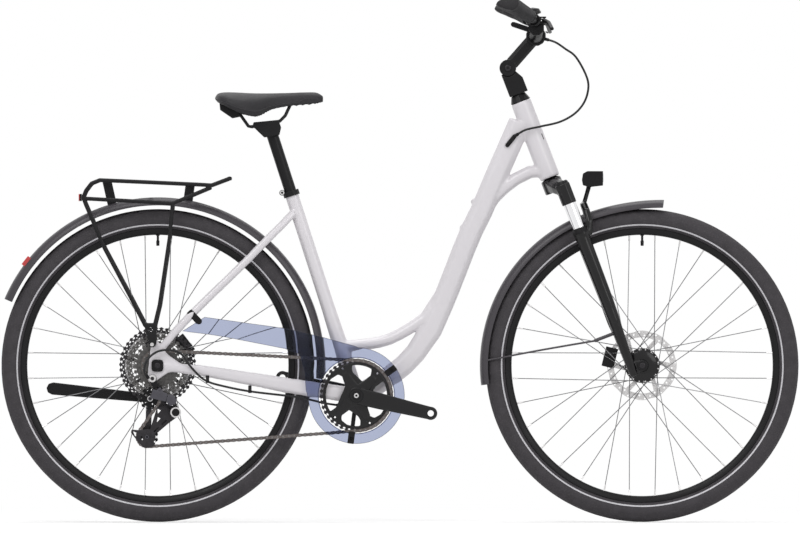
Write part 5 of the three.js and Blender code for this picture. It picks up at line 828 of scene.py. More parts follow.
class BICYCLE_OT_fork(bpy.types.Operator):
    """Build the suspension fork"""
    bl_idname = "bicycle.fork"
    bl_label = "Fork"

    def execute(self, context):
        sizes = context.scene.bicycle_frame
        rounded("fork_crown_casting", "fork_crown", "steerer", "gloss", 1.2 * MM, 14, grow=0.3 * MM)
        filling = Shell()
        feet = [STEER_FOOT + STEER_FORWARD * FORK_LEAD + SIDE * side * LEG_SPREAD for side in (-1, 1)]
        for foot in feet:
            filling.join(tapered(foot + STEER_UP * 115 * MM, foot + STEER_UP * 336 * MM,
                                 [(0, 12.6 * MM), (0.23, 14.6 * MM), (0.9, 16.4 * MM), (1, 17.6 * MM)], 40))
        lowers = rounded("fork_lowers_casting", "fork_lowers", "fork_legs", "gloss",
                         1.3 * MM, 14, grow=0.5 * MM, extra=filling)
        for foot in feet:
            drill(lowers, rod(foot + STEER_UP * 150 * MM, foot + STEER_UP * 345 * MM, 14.3 * MM, 40))
        for node, foot in zip(("stanchion_right", "stanchion_left"), feet):
            low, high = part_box(node)
            reach = [(Vector(low).z - foot.z + 8 * MM) / STEER_UP.z, (Vector(high).z - foot.z - 6 * MM) / STEER_UP.z]
            place_piece(f"{node}_tube", rod(foot + STEER_UP * reach[0], foot + STEER_UP * reach[1], 14 * MM, 64),
                        "steerer", "chrome", [node], angle=50)
            seal = tapered(foot + STEER_UP * 333 * MM, foot + STEER_UP * 347 * MM,
                           [(0, 18.4 * MM), (0.5, 18.2 * MM), (0.7, 16.6 * MM), (1, 14.6 * MM)], 48)
            place_piece(f"{node}_seal", seal, "fork_legs", "plastic")
            cap = tapered(foot + STEER_UP * 452 * MM, foot + STEER_UP * 461 * MM,
                          [(0, 15 * MM), (0.6, 14.6 * MM), (1, 12 * MM)], 40)
            place_piece(f"{node}_cap", cap, "steerer", "satin")
        hose = smoothed([(0.497, 0.083, 0.42), (0.478, 0.088, 0.46), (0.455, 0.088, 0.53), (0.440, 0.086, 0.60),
                         (0.430, 0.084, 0.64)], 40)
        place_piece("brake_hose_front", sweep(hose, sizes.cable_radius, sides=12), "fork_legs", "sleeve")
        return {"FINISHED"}


# Drive train

# The teeth of the cogs, and which of them the chain runs on
TEETH = [11, 13, 15, 17, 21, 26, 34, 42]
DRIVE = 3
COG_WINDOWS = 7


def pitch_radius(teeth, pitch=12.7 * MM):
    """The radius at which the chain's pins lie round a toothed wheel"""
    return pitch / (2 * math.sin(math.pi / teeth))


def wheel_at(x, z, teeth, turn):
    """A toothed wheel that the chain runs over, with the way that it turns"""
    return {"x": x, "z": z, "teeth": teeth, "turn": turn}


# In the chain's order: the ring, the tension pulley, the guide pulley and the driven cog
CHAIN_WHEELS = [
    wheel_at(BRACKET.x, BRACKET.z, 40, 1),
    wheel_at(REAR_AXLE.x - 24.1 * MM, REAR_AXLE.z - 163.51 * MM, 11, 1),
    wheel_at(REAR_AXLE.x - 17 * MM, REAR_AXLE.z - 75.8 * MM, 11, -1),
    wheel_at(REAR_AXLE.x, REAR_AXLE.z, 17, 1),
]


def chain_run(a, b):
    """The two ends of the straight run of chain between two wheels"""
    ra, rb = pitch_radius(a["teeth"]) * a["turn"], pitch_radius(b["teeth"]) * b["turn"]
    dx, dz = b["x"] - a["x"], b["z"] - a["z"]
    way = math.atan2(dz, dx) - math.asin((ra - rb) / math.hypot(dx, dz))
    nx, nz = -math.sin(way), math.cos(way)
    start = (a["x"] + ra * nx, a["z"] + ra * nz)
    end = (b["x"] + rb * nx, b["z"] + rb * nz)
    return start, end


def chain_pins(pitch):
    """Pins on the teeth of the ring and the driven cog, with the slack shared over the lower run"""
    full = 2 * math.pi
    wheels = CHAIN_WHEELS
    runs = [chain_run(w, wheels[(i + 1) % 4]) for i, w in enumerate(wheels)]
    parts = []
    for i, wheel in enumerate(wheels):
        arrive = runs[(i + 3) % 4][1]
        start = math.atan2(arrive[1] - wheel["z"], arrive[0] - wheel["x"])
        end = math.atan2(runs[i][0][1] - wheel["z"], runs[i][0][0] - wheel["x"])
        swept = ((start - end if wheel["turn"] > 0 else end - start) + 2 * full) % full
        parts.append(("wheel", wheel, start, swept * wheel["teeth"] / full))
        (x0, z0), (x1, z1) = runs[i]
        parts.append(("run", runs[i], 0, math.hypot(x1 - x0, z1 - z0) / pitch))
    total = sum(p[3] for p in parts)
    tight = parts[0][3] + parts[6][3] + parts[7][3]
    count = 2 * round(total / 2)
    slack = (count - tight) / (total - tight)
    pins, passed = [], 0.0
    for i, (kind, thing, start, links) in enumerate(parts):
        length = links * (1 if i in (0, 6, 7) else slack)
        k = math.ceil(passed)
        while k < passed + length and len(pins) < count:
            share = (k - passed) / length
            if kind == "run":
                (x0, z0), (x1, z1) = thing
                pins.append((x0 + (x1 - x0) * share, z0 + (z1 - z0) * share))
            else:
                angle = start - thing["turn"] * share * links * full / thing["teeth"]
                r = pitch_radius(thing["teeth"])
                pins.append((thing["x"] + r * math.cos(angle), thing["z"] + r * math.sin(angle)))
            k += 1
        passed += length
    return pins


def gap_angle(pins, wheel):
    """The angle at which a tooth gap meets a chain pin"""
    r = pitch_radius(wheel["teeth"])
    near = [p for p in pins if abs(math.hypot(p[0] - wheel["x"], p[1] - wheel["z"]) - r) < r / 1000]
    x, z = near[len(near) // 2]
    return math.atan2(z - wheel["z"], x - wheel["x"])


def toothed(x, z, teeth, start, tip=3.4 * MM, root=3.95 * MM):
    """The outline of a sprocket: a round valley at each roller and a narrow tip between"""
    radius = pitch_radius(teeth)
    step = 2 * math.pi / teeth
    points = []
    for k in range(teeth):
        a = start + k * step
        cx, cz = radius * math.cos(a), radius * math.sin(a)
        for t in (-62, -30, 0, 30, 62):
            b = a + math.pi + math.radians(t)
            points.append((x + cx + root * math.cos(b), z + cz + root * math.sin(b)))
        for t in (0.40, 0.60):
            b = a + step * t
            points.append((x + (radius + tip) * math.cos(b), z + (radius + tip) * math.sin(b)))
    return points


def link_outline(a, b, radius, waist):
    """The waisted outline of one side plate, from pin to pin"""
    ax, az = a
    bx, bz = b
    way = math.atan2(bz - az, bx - ax)
    points = []
    for cx, cz, first in ((ax, az, way + math.pi / 2), (bx, bz, way - math.pi / 2)):
        for k in range(7):
            t = first + math.pi * k / 6
            points.append((cx + radius * math.cos(t), cz + radius * math.sin(t)))
        mx, mz = (ax + bx) / 2, (az + bz) / 2
        t = first + math.pi
        points.append((mx + waist * math.cos(t), mz + waist * math.sin(t)))
    return points


def strip(outline, low, high):
    """A closed slab between two places along the side axis, from a plain outline"""
    count = len(outline)
    cx = sum(p[0] for p in outline) / count
    cz = sum(p[1] for p in outline) / count
    verts = [(x, low, z) for x, z in outline] + [(x, high, z) for x, z in outline]
    verts += [(cx, low, cz), (cx, high, cz)]
    faces = []
    for k in range(count):
        n = (k + 1) % count
        faces.append((k, n, count + n, count + k))
        faces.append((2 * count, n, k))
        faces.append((2 * count + 1, count + k, count + n))
    return Shell().add(verts, faces)


SPIDER_ANGLES = [46.5, 117.5, 225.3, -64]

# Each window between the spider's arms: its round edge's angles, then its corners as radius and angle
RING_WINDOWS = [
    [(60, 98), (56, 100), (34.5, 65), (44.6, 54), (57, 55)],
    [(148, 211), (54, 210), (34, 138), (40, 127), (53, 126), (64, 131)],
    [(252, 277), (58, 279), (48, 275), (37, 243), (43, 235), (58, 234), (66, 239)],
    [(-38, 28), (49, 25), (36, 10), (34, -40), (43, -57), (55, -57), (65.5, -51)],
]


class BICYCLE_OT_drive(bpy.types.Operator):
    """Build the chain, the chainring with its cranks, the cogs and the bearings"""
    bl_idname = "bicycle.drive"
    bl_label = "Drive train"

    def execute(self, context):
        sizes = context.scene.bicycle_drive
        line = -sizes.chain_line
        pins = chain_pins(sizes.pitch)
        self.chain(pins, line)
        self.ring(sizes, pins, line)
        self.cogs(sizes, pins, line)
        rounded("bottom_bracket_cups", "bottom_bracket_bearings", "frame_body", "dark", 0.9 * MM, 4)
        return {"FINISHED"}

    def chain(self, pins, line):
        """Inner and outer side plates by turns, and a pin with its roller at each joint"""
        plates, rollers = Shell(), Shell()
        count = len(pins)
        for i in range(count):
            a, b = pins[i], pins[(i + 1) % count]
            outer = i % 2 == 0
            outline = link_outline(a, b, 4.1 * MM, 3.2 * MM if outer else 3.0 * MM)
            near = 2.5 * MM if outer else 1.6 * MM
            far = near + 0.8 * MM
            plates.join(strip(outline, line - far, line - near))
            plates.join(strip(outline, line + near, line + far))
            x, z = a
            rollers.join(rod((x, line - 3.5 * MM, z), (x, line + 3.5 * MM, z), 1.7 * MM, 8))
            rollers.join(rod((x, line - 1.55 * MM, z), (x, line + 1.55 * MM, z), 3.8 * MM, 10))
        place_piece("chain_plates", plates, "frame_body", "chain", ["chain"])
        place_piece("chain_rollers", rollers, "frame_body", "roller")

    def ring(self, sizes, pins, line):
        """The toothed ring, the spider with its windows, and both cranks"""
        at = BRACKET
        polar = lambda radius, angle: (at.x + radius * MM * math.cos(math.radians(angle)),
                                       at.z + radius * MM * math.sin(math.radians(angle)))
        windows = []
        for (start, end), *corners in RING_WINDOWS:
            steps = max(2, round((end - start) / 6))
            edge = [polar(70, start + (end - start) * k / steps) for k in range(steps + 1)]
            windows.append(softened(edge + [polar(r, a) for r, a in corners], 3 * MM))
        holes = [circle(*polar(69.8, angle), 2.1 * MM, 20) for angle in SPIDER_ANGLES]
        gear = plate(toothed(at.x, at.z, sizes.ring_teeth, gap_angle(pins, CHAIN_WHEELS[0])), 2.0 * MM, line,
                     windows + holes)
        place_piece("chainring", gear, "cranks", "dark")
        spider = plate(circle(at.x, at.z, 74.6 * MM, 120), 4.4 * MM, line - 3.4 * MM, windows + holes)
        place_piece("chainring_spider", spider, "cranks", "gloss", bevel=0.8 * MM)
        ribs = Shell()
        middle = Vector((at.x, line - 6 * MM, at.z))
        for angle in SPIDER_ANGLES:
            way = heading(angle)
            ribs.join(sweep([middle + way * r * MM for r in (10, 24, 38, 52, 60)],
                            [3.0 * MM, 2.8 * MM, 2.2 * MM, 1.2 * MM, 0.5 * MM],
                            [18 * MM, 15 * MM, 11 * MM, 9 * MM, 7 * MM], 24, power=0.6))
        ribs.join(rod(at + SIDE * (line - 1 * MM), at - SIDE * 55 * MM, 25 * MM, 64))
        place_piece("chainring_hub", ribs, "cranks", "gloss", bevel=0.8 * MM)
        for side in (-1, 1):
            self.crank(sizes, side)

    def crank(self, sizes, side):
        """One crank arm with its open pedal eye, its cap and its bolt; the left one carries the spindle"""
        way = heading(-13.4 + (0 if side < 0 else 180))
        own = Shell()
        shares = [-0.08, -0.03, 0.04, 0.15, 0.3, 0.5, 0.7, 0.84, 0.92, 0.97, 1.0, 1.03, 1.06]
        rises = [14, 18, 19, 19, 18.8, 17.6, 16.4, 15.6, 15.2, 15.0, 14.8, 13.4, 9]
        path = [BRACKET + way * sizes.crank_length * s + SIDE * side * (59.5 + 13 * min(1, max(0, s) * 1.15)) * MM
                for s in shares]
        own.join(sweep(path, [6.3 * MM] * len(path), [r * MM for r in rises], 40, power=0.34))
        eye = BRACKET + way * sizes.crank_length
        own.join(rod(eye + SIDE * side * 66.4 * MM, eye + SIDE * side * 78.8 * MM, 15.2 * MM, 48))
        own.join(rod(BRACKET + SIDE * side * 53.2 * MM, BRACKET + SIDE * side * 66.4 * MM, 19 * MM, 48))
        if side > 0:
            own.join(rod(BRACKET - SIDE * 52 * MM, BRACKET + SIDE * 55 * MM, 8.4 * MM, 32))
        name = "crank_right" if side < 0 else "crank_left"
        arm = rounded(f"{name}_arm", name, "cranks", "gloss", 0.9 * MM, 5, own=own)
        drill(arm, rod(eye + SIDE * side * 60 * MM, eye + SIDE * side * 84 * MM, 7.3 * MM, 32))
        thread = lathe(metres([(7.1, side * 66), (7.35, side * 66), (7.35, side * 78.6), (7.1, side * 78.6)]), 32, eye)
        place_piece(f"{name}_thread", thread, "cranks", "dark")
        face = BRACKET + SIDE * side * 66.2 * MM
        caps = ring(face, SIDE * side, 13.6 * MM, 16.8 * MM, 1.4 * MM, 56)
        caps.join(ring(face, SIDE * side, 6 * MM, 11 * MM, 1.0 * MM, 40))
        place_piece(f"{name}_cap", caps, "cranks", "satin")
        head = ring(face, SIDE * side, 2.8 * MM, 5.6 * MM, 2.2 * MM, 32)
        place_piece(f"{name}_bolt", head, "cranks", "steel")

    def cogs(self, sizes, pins, line):
        """The cogs, pierced between their spokes, and the spacers between them"""
        gears, bodies = Shell(), Shell()
        at = REAR_AXLE
        for i, teeth in enumerate(TEETH):
            place = line + (i - DRIVE) * sizes.cog_spacing
            start = gap_angle(pins, CHAIN_WHEELS[3]) if i == DRIVE else 0.37 * i
            radius = pitch_radius(teeth)
            holes = [circle(at.x, at.z, 15.5 * MM, 32)]
            if teeth > 30:
                inner, outer = 20.5 * MM, radius - 9.5 * MM
                slim = math.degrees(2.4 * MM / inner)
                for k in range(COG_WINDOWS):
                    a = 360 / COG_WINDOWS * k + 9 * i
                    b = a + 360 / COG_WINDOWS
                    edge = arc(at.x, at.z, outer, a + slim * 0.5, b - slim * 0.5, 7)
                    foot = arc(at.x, at.z, inner, b - slim * 1.2 + 9, a + slim * 1.2 + 9, 4)
                    holes.append(softened(edge + foot, 1.5 * MM))
                r = radius - 6.2 * MM
                for turn in turns(teeth, 0.5):
                    t = start + turn
                    holes.append(circle(at.x + r * math.cos(t), at.z + r * math.sin(t), 1.7 * MM, 10))
            shell = plate(toothed(at.x, at.z, teeth, start), 1.6 * MM, place, holes)
            if teeth == TEETH[-1]:
                place_piece("cog_largest", shell, "cog_stack", "dark")
            else:
                gears.join(shell)
            bodies.join(lathe([(15 * MM, place + 0.9 * MM), (19.5 * MM, place + 0.9 * MM),
                               (19.5 * MM, place + 3.8 * MM), (15 * MM, place + 3.8 * MM)], 40, at))
        place_piece("cog_plates", gears, "cog_stack", "cog", ["cassette"])
        bodies.join(lathe(metres([(6.6, -66.6), (10.8, -66.6), (10.8, -63), (16.2, -62.6), (16.6, -61.6),
                                  (16.6, -24), (6.6, -24)]), 48, at))
        place_piece("cog_carrier", bodies, "cog_stack", "dark")


# The outer cage plate and its windows, as they lie in the picture
CAGE_OUTLINE_PIXELS = [(177.2, 417.0), (155.8, 433.1), (156.1, 438.2), (154.2, 440.8), (155.5, 445.3),
                       (149.1, 447.8), (144.0, 447.2), (137.7, 440.8), (131.3, 432.5), (131.9, 429.3),
                       (140.2, 430.0), (147.9, 428.7), (150.4, 429.3), (157.4, 407.0), (168.0, 404.0),
                       (176.2, 406.9), (181.0, 411.5)]
CAGE_WINDOW_PIXELS = [
    [(157.8, 408.6), (161.3, 410.2), (158.2, 413.4)],
    [(158.1, 416.9), (160.9, 418.2), (157.2, 422.2)],
    [(167.6, 420.1), (165.7, 419.7), (161.6, 424.2), (162.5, 425.2)],
    [(159.7, 427.1), (158.1, 427.1), (153.7, 431.2), (154.6, 432.2)],
    [(133.5, 431.2), (137.3, 432.8), (137.0, 435.7), (135.4, 436.0)],
    [(141.0, 436.0), (142.4, 436.0), (143.5, 439.8), (142.1, 439.8)],
]


class BICYCLE_OT_derailleur(bpy.types.Operator):
    """Build the rear derailleur and its toothed pulleys"""
    bl_idname = "bicycle.derailleur"
    bl_label = "Derailleur"

    def execute(self, context):
        sizes = context.scene.bicycle_drive
        grain = context.scene.bicycle_frame.small_voxel
        for name, node, body, finish, passes, grow in (
                ("derailleur_hanger_knuckle", "derailleur_body", "frame_body", "plastic", 7, 0.2 * MM),
                ("derailleur_arm", "derailleur_link", "changer_link", "anodised", 3, 0.6 * MM),
                ("derailleur_lower_knuckle", "derailleur_knuckle", "changer_knuckle", "plastic", 7, 0.2 * MM)):
            rounded(name, node, body, finish, grain, passes, grow=grow)
        pins = chain_pins(sizes.pitch)
        line = -sizes.chain_line
        pulleys = (("tension_pulley", "tension_wheel", CHAIN_WHEELS[1]),
                   ("guide_pulley", "guide_wheel", CHAIN_WHEELS[2]))
        for node, body, wheel in pulleys:
            start = gap_angle(pins, wheel)
            holes = [circle(wheel["x"], wheel["z"], 3.3 * MM, 16)]
            for x, z in circle(wheel["x"], wheel["z"], 11.5 * MM, 5):
                holes.append(circle(x, z, 3.4 * MM, 14))
            place_piece(f"{node}_teeth", plate(toothed(wheel["x"], wheel["z"], 11, start), 1.7 * MM, line, holes),
                        body, "plastic", [node])
            hub = lathe([(3.3 * MM, line - 3 * MM), (6.4 * MM, line - 3 * MM), (6.4 * MM, line + 3 * MM),
                         (3.3 * MM, line + 3 * MM)], 32, (wheel["x"], 0, wheel["z"]))
            place_piece(f"{node}_bush", hub, body, "steel")
        self.cage(line)
        blocks = (("derailleur_face", "changer_link", [(153.6, 388.8), (168.3, 393.2), (166.0, 401.4), (150.4, 397.6)]),
                  ("derailleur_lower_face", "changer_knuckle",
                   [(168.9, 393.8), (174, 395), (177.2, 400), (176.6, 403), (170.8, 406), (166.8, 401.6)]))
        for name, body, spots in blocks:
            block = plate(pictured(spots, 2 * MM), 11 * MM, -81 * MM)
            place_piece(name, block, body, "anodised", bevel=1.6 * MM)
        hanger = pixel(152.9, 378.3, -86 * MM)
        hanger_bolt = ring(hanger, -SIDE, 4.4 * MM, 8.6 * MM, 3.0 * MM)
        place_piece("derailleur_bolt", hanger_bolt, "frame_body", "steel")
        socket = rod(hanger, hanger - SIDE * 1.4 * MM, 4.5 * MM, 24)
        place_piece("derailleur_bolt_socket", socket, "frame_body", "dark")
        return {"FINISHED"}

    def cage(self, line):
        """Two pierced side plates that carry the pulleys, and the ring of the sprung pivot"""
        pivot = pixel(176.2, 412.1)
        tension = (CHAIN_WHEELS[1]["x"], CHAIN_WHEELS[1]["z"])
        guide = (CHAIN_WHEELS[2]["x"], CHAIN_WHEELS[2]["z"])
        windows = [pictured(window, 1.2 * MM) for window in CAGE_WINDOW_PIXELS]
        plates = plate(pictured(CAGE_OUTLINE_PIXELS, 2 * MM), 1.6 * MM, line - 5.2 * MM, windows)
        for a, b, ra, rb in ((guide, tension, 4.5, 9), ((pivot.x, pivot.z), tension, 8.4, 8.4),
                             ((pivot.x, pivot.z), guide, 8.4, 7)):
            plates.join(strip(self.link(a, b, ra * MM, rb * MM), line + 4.4 * MM, line + 6 * MM))
        for x, z in (guide, tension):
            plates.join(rod((x, line - 6 * MM, z), (x, line + 6 * MM, z), 2.6 * MM, 20))
        plates.join(rod((pivot.x, line - 6 * MM, pivot.z), (pivot.x, line + 6 * MM, pivot.z), 6 * MM, 24))
        place_piece("derailleur_cage_plates", plates, "changer_cage", "dark",
                    ["derailleur_cage"], bevel=0.25 * MM)
        screws = Shell()
        for x, z in (guide, tension):
            screws.join(ring((x, line - 6 * MM, z), -SIDE, 2.2 * MM, 4.6 * MM, 1.4 * MM))
        place_piece("derailleur_cage_screws", screws, "changer_cage", "anodised")
        rim = ring((pivot.x, -84 * MM, pivot.z), -SIDE, 9.0 * MM, 12.2 * MM, 3.2 * MM, 56)
        place_piece("derailleur_pivot_ring", rim, "changer_knuckle", "steel")
        drum = rod((pivot.x, -58 * MM, pivot.z), (pivot.x, -86.0 * MM, pivot.z), 11.6 * MM, 56)
        place_piece("derailleur_pivot_drum", drum, "changer_knuckle", "plastic")

    def link(self, a, b, ra, rb):
        """The outline of a strap round two places, each with its own radius"""
        way = math.degrees(math.atan2(b[1] - a[1], b[0] - a[0]))
        return arc(a[0], a[1], ra, way + 90, way + 270, 12) + arc(b[0], b[1], rb, way - 90, way + 90, 12)


class BICYCLE_OT_brakes(bpy.types.Operator):
    """Build the two brake calipers with their bolts"""
    bl_idname = "bicycle.brakes"
    bl_label = "Brake calipers"

    def execute(self, context):
        grain = context.scene.bicycle_frame.small_voxel
        for node, body in (("caliper_front", "fork_legs"), ("caliper_rear", "frame_body")):
            rounded(f"{node}_casting", node, body, "satin", grain, 5)
            low, high = Vector(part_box(node)[0]), Vector(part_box(node)[1])
            middle = (low + high) / 2
            bolts = Shell()
            for share in (-0.28, 0.28):
                bolts.join(bolt((middle.x + (high.x - low.x) * share, high.y - 0.4 * MM, middle.z), SIDE, 4 * MM,
                                2.4 * MM))
            place_piece(f"{node}_bolts", bolts, body, "steel")
        return {"FINISHED"}


# Mudguards, rack, guard, stand and lights

# Half of a mudguard's section, from its edge to its middle: shares of its depth and of its half width
GUARD_SECTION = [(0, 1), (0.18, 0.985), (0.4, 0.93), (0.6, 0.85), (0.78, 0.70), (0.9, 0.53), (0.97, 0.33),
                 (1, 0.1)]


def mudguard_shell(radius, rise, flare, start, end, steps):
    """A curved shell with rolled edges that follows the tyre, with a flare at its first end"""
    half, depth, wall = 26 * MM, 18.5 * MM, 1.5 * MM
    skirt = radius - depth
    outer = [(skirt + depth * r, half * s) for r, s in GUARD_SECTION]
    outer += [(r, -s) for r, s in reversed(outer)]
    inner = [(skirt + (depth - wall) * r, (half - wall) * s) for r, s in GUARD_SECTION]
    inner += [(r, -s) for r, s in reversed(inner)]
    section = outer + list(reversed(inner))
    count = len(section)
    verts, faces = [], []
    for k in range(steps + 1):
        share = k / steps
        angle = math.radians(start + (end - start) * share)
        lift = flare * max(0, 1 - share * 4) ** 2
        for r, y in section:
            verts.append(((r + lift) * math.cos(angle), y, rise + (r + lift) * math.sin(angle)))
    for k in range(steps):
        for j in range(count):
            n = (j + 1) % count
            faces.append((k * count + j, k * count + n, (k + 1) * count + n, (k + 1) * count + j))
    half_count = count // 2
    for first, turn in ((0, 1), (steps * count, -1)):
        for j in range(half_count - 1):
            a, b = first + j, first + j + 1
            c, d = first + count - 2 - j, first + count - 1 - j
            faces.append((a, b, c, d) if turn < 0 else (d, c, b, a))
    return Shell().add(verts, faces)


class BICYCLE_OT_mudguards(bpy.types.Operator):
    """Build the mudguards with their wires and bolts"""
    bl_idname = "bicycle.mudguards"
    bl_label = "Mudguards"

    def execute(self, context):
        front = mudguard_shell(372.5 * MM, 0, 11 * MM, 82.5, 187, 96)
        front.moved(Matrix.Translation(FRONT_AXLE))
        for side in (-1, 1):
            tail = FRONT_AXLE + Vector((-353.8 * MM, side * 25 * MM, 12.4 * MM))
            foot = STEER_FOOT + STEER_FORWARD * FORK_LEAD
            end = foot + STEER_UP * 92 * MM + SIDE * side * 58 * MM
            clip = end - STEER_FORWARD * 59.2 * MM
            clip.y = side * 52.8 * MM
            front.join(sweep(smoothed([tail, (tail + clip) / 2 + UP * 1 * MM, clip], 16), 2 * MM, sides=10))
            front.join(sweep([clip, end], 3.6 * MM, sides=12))
        top = STEER_FOOT + STEER_FORWARD * 50 * MM
        front.join(sweep([top + STEER_UP * 366 * MM, top + STEER_UP * 392 * MM], 13 * MM, 4 * MM, 16, power=0.5))
        place_piece("mudguard_front_blade", front, "fork_legs", "guard", ["mudguard_front"], angle=40)
        rear = mudguard_shell(382.5 * MM, 3.5 * MM, 0, -5, 157, 130)
        rear.moved(Matrix.Translation(REAR_AXLE))
        place_piece("mudguard_rear_blade", rear, "frame_body", "guard", ["mudguard_rear"], angle=40)
        bolts = Shell()
        for angle in (96, 44, 8):
            way = heading(angle)
            place = REAR_AXLE + UP * 3.5 * MM + way * 381.6 * MM
            bolts.join(bolt(place, way, 4.5 * MM, 1.8 * MM, socket=False))
        place_piece("mudguard_rivets", bolts, "frame_body", "steel")
        return {"FINISHED"}


class BICYCLE_OT_rack(bpy.types.Operator):
    """Build the luggage rack with its welds and bolts"""
    bl_idname = "bicycle.rack"
    bl_label = "Rack"

    def execute(self, context):
        tubes = rounded("rack_tubes", "rack", "frame_body", "rack", 1.1 * MM, 12, grow=0.9 * MM)
        drill(tubes, rod(pixel(150.8, 329.6, -120 * MM), pixel(150.8, 329.6, 120 * MM), 5.4 * MM, 24))
        bolts = Shell()
        for side in (-1, 1):
            foot = REAR_AXLE + Vector((-12.2 * MM, side * 90.5 * MM, 48.5 * MM))
            bolts.join(bolt(foot, SIDE * side, 4.6 * MM, 3 * MM))
        place_piece("rack_bolts", bolts, "frame_body", "steel")
        return {"FINISHED"}


class BICYCLE_OT_lights(bpy.types.Operator):
    """Build the head light, the rear light and the reflector"""
    bl_idname = "bicycle.lights"
    bl_label = "Lights"

    def execute(self, context):
        grain = context.scene.bicycle_frame.small_voxel
        rounded("headlight_case", "headlight", "lamp", "plastic", grain, 5)
        high = Vector(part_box("headlight")[1])
        face = sweep([(high.x - 3.5 * MM, 0, high.z - 15 * MM), (high.x + 0.8 * MM, 0, high.z - 15 * MM)],
                     16.5 * MM, 10.5 * MM, 32, power=0.55)
        place_piece("headlight_lens", face, "lamp", "lens")
        rounded("rear_light_case", "rear_light_housing", "frame_body", "plastic", grain, 4)
        rounded("rear_light_glass", "rear_light_lens", "frame_body", "red", grain, 4)
        rounded("rear_reflector_glass", "rear_reflector", "frame_body", "red", grain, 4)
        return {"FINISHED"}


class BICYCLE_OT_guard(bpy.types.Operator):
    """Build the clear chain guard with its rim, clip and bracket"""
    bl_idname = "bicycle.guard"
    bl_label = "Chain guard"

    def execute(self, context):
        shares = [(0.956, 0.242), (0.853, 0.254), (0.777, 0.263), (0.598, 0.276), (0.422, 0.275), (0.196, 0.273)]
        low = [(0.098, 0.188), (0.258, 0.192), (0.435, 0.186), (0.613, 0.178), (0.691, 0.162), (0.729, 0.077),
               (0.748, -0.01)]
        top = smoothed(between(REAR_AXLE, BRACKET, shares), 30)
        foot = smoothed(between(REAR_AXLE, BRACKET, low[:4]), 16) + between(REAR_AXLE, BRACKET, low[4:])
        tongue = side_view(top + foot)
        disc = arc(BRACKET.x, BRACKET.z, 110 * MM, -176, 88, 72)
        window = circle(BRACKET.x, BRACKET.z, 87 * MM, 96)
        place = -52.6 * MM
        sheet = plate(disc + tongue, 2.2 * MM, place, [window])
        place_piece("chain_guard_sheet", sheet, "frame_body", "smoke", ["chain_guard"], bevel=0.3 * MM)
        lip = lathe([(86.4 * MM, place - 2.2 * MM), (88.2 * MM, place - 2.2 * MM), (88.6 * MM, place - 1.1 * MM),
                     (88.6 * MM, place - 0.9 * MM), (86.4 * MM, place - 0.9 * MM)], 120, BRACKET)
        place_piece("chain_guard_lip", lip, "frame_body", "smoke")
        outline = [Vector((x, place - 1.1 * MM, z)) for x, z in disc + tongue]
        opening = [Vector((x, place - 1.1 * MM, z)) for x, z in window]
        edges = Shell()
        for path in (outline, opening):
            edges.join(sweep(path + path[:1], 0.45 * MM, 0.45 * MM, 8))
        place_piece("chain_guard_edges", edges, "frame_body", "edge")
        rounded("chain_guard_arms", "chain_guard_bracket", "frame_body", "plastic", 1.0 * MM, 4)
        clips = Shell()
        tip = pixel(194, 317, place - 1.4 * MM)
        clips.join(sweep([tip + Vector((-12 * MM, 0, 13 * MM)), tip, tip + Vector((11 * MM, 0, -12 * MM))],
                         1.6 * MM, 6 * MM, 16, power=0.6))
        for angle in (36, -97):
            along, across = heading(angle), heading(angle + 90)
            corners = [BRACKET + along * r * MM + across * w * MM
                       for r, w in ((83, -7.5), (111, -7.5), (111, 7.5), (83, 7.5))]
            clips.join(plate(softened(side_view(corners), 2 * MM), 1.8 * MM, place - 2 * MM))
            at = BRACKET + along * 99 * MM
            clips.join(bolt((at.x, place - 1.1 * MM, at.z), -SIDE, 4 * MM, 1.8 * MM))
        band = [(191.8, 308.9), (202.6, 320.2), (201.9, 323.6), (198.4, 324.6), (187.2, 313.4)]
        clips.join(plate(pictured(band, 3 * MM), 9 * MM, -69 * MM))
        place_piece("chain_guard_clips", clips, "frame_body", "plastic")
        return {"FINISHED"}


class BICYCLE_OT_stand(bpy.types.Operator):
    """Build the folding side stand"""
    bl_idname = "bicycle.stand"
    bl_label = "Side stand"

    def execute(self, context):
        rounded("kickstand_leg", "kickstand", "stand_leg", "satin", 1.1 * MM, 8, grow=0.2 * MM)
        return {"FINISHED"}


# Cockpit

def bar_spots(side):
    """The places that one half of the handlebar runs through, from the clamp to the grip's end"""
    shares = [(0, 0, 0), (0.11, 0, 0), (0.2, -0.06, 0.06), (0.32, -0.05, 0.25), (0.46, 0.02, 0.43),
              (0.6, 0.22, 0.57), (1, 1, 1)]
    return [BAR_CLAMP + Vector((-57 * MM * back, side * 322 * MM * out, 70 * MM * rise))
            for out, back, rise in shares]


def bar_half(side, steps=60):
    """The smooth run of one half of the handlebar, straight under the grip"""
    spots = bar_spots(side)
    return smoothed(spots[:-1], steps) + [spots[-1]]


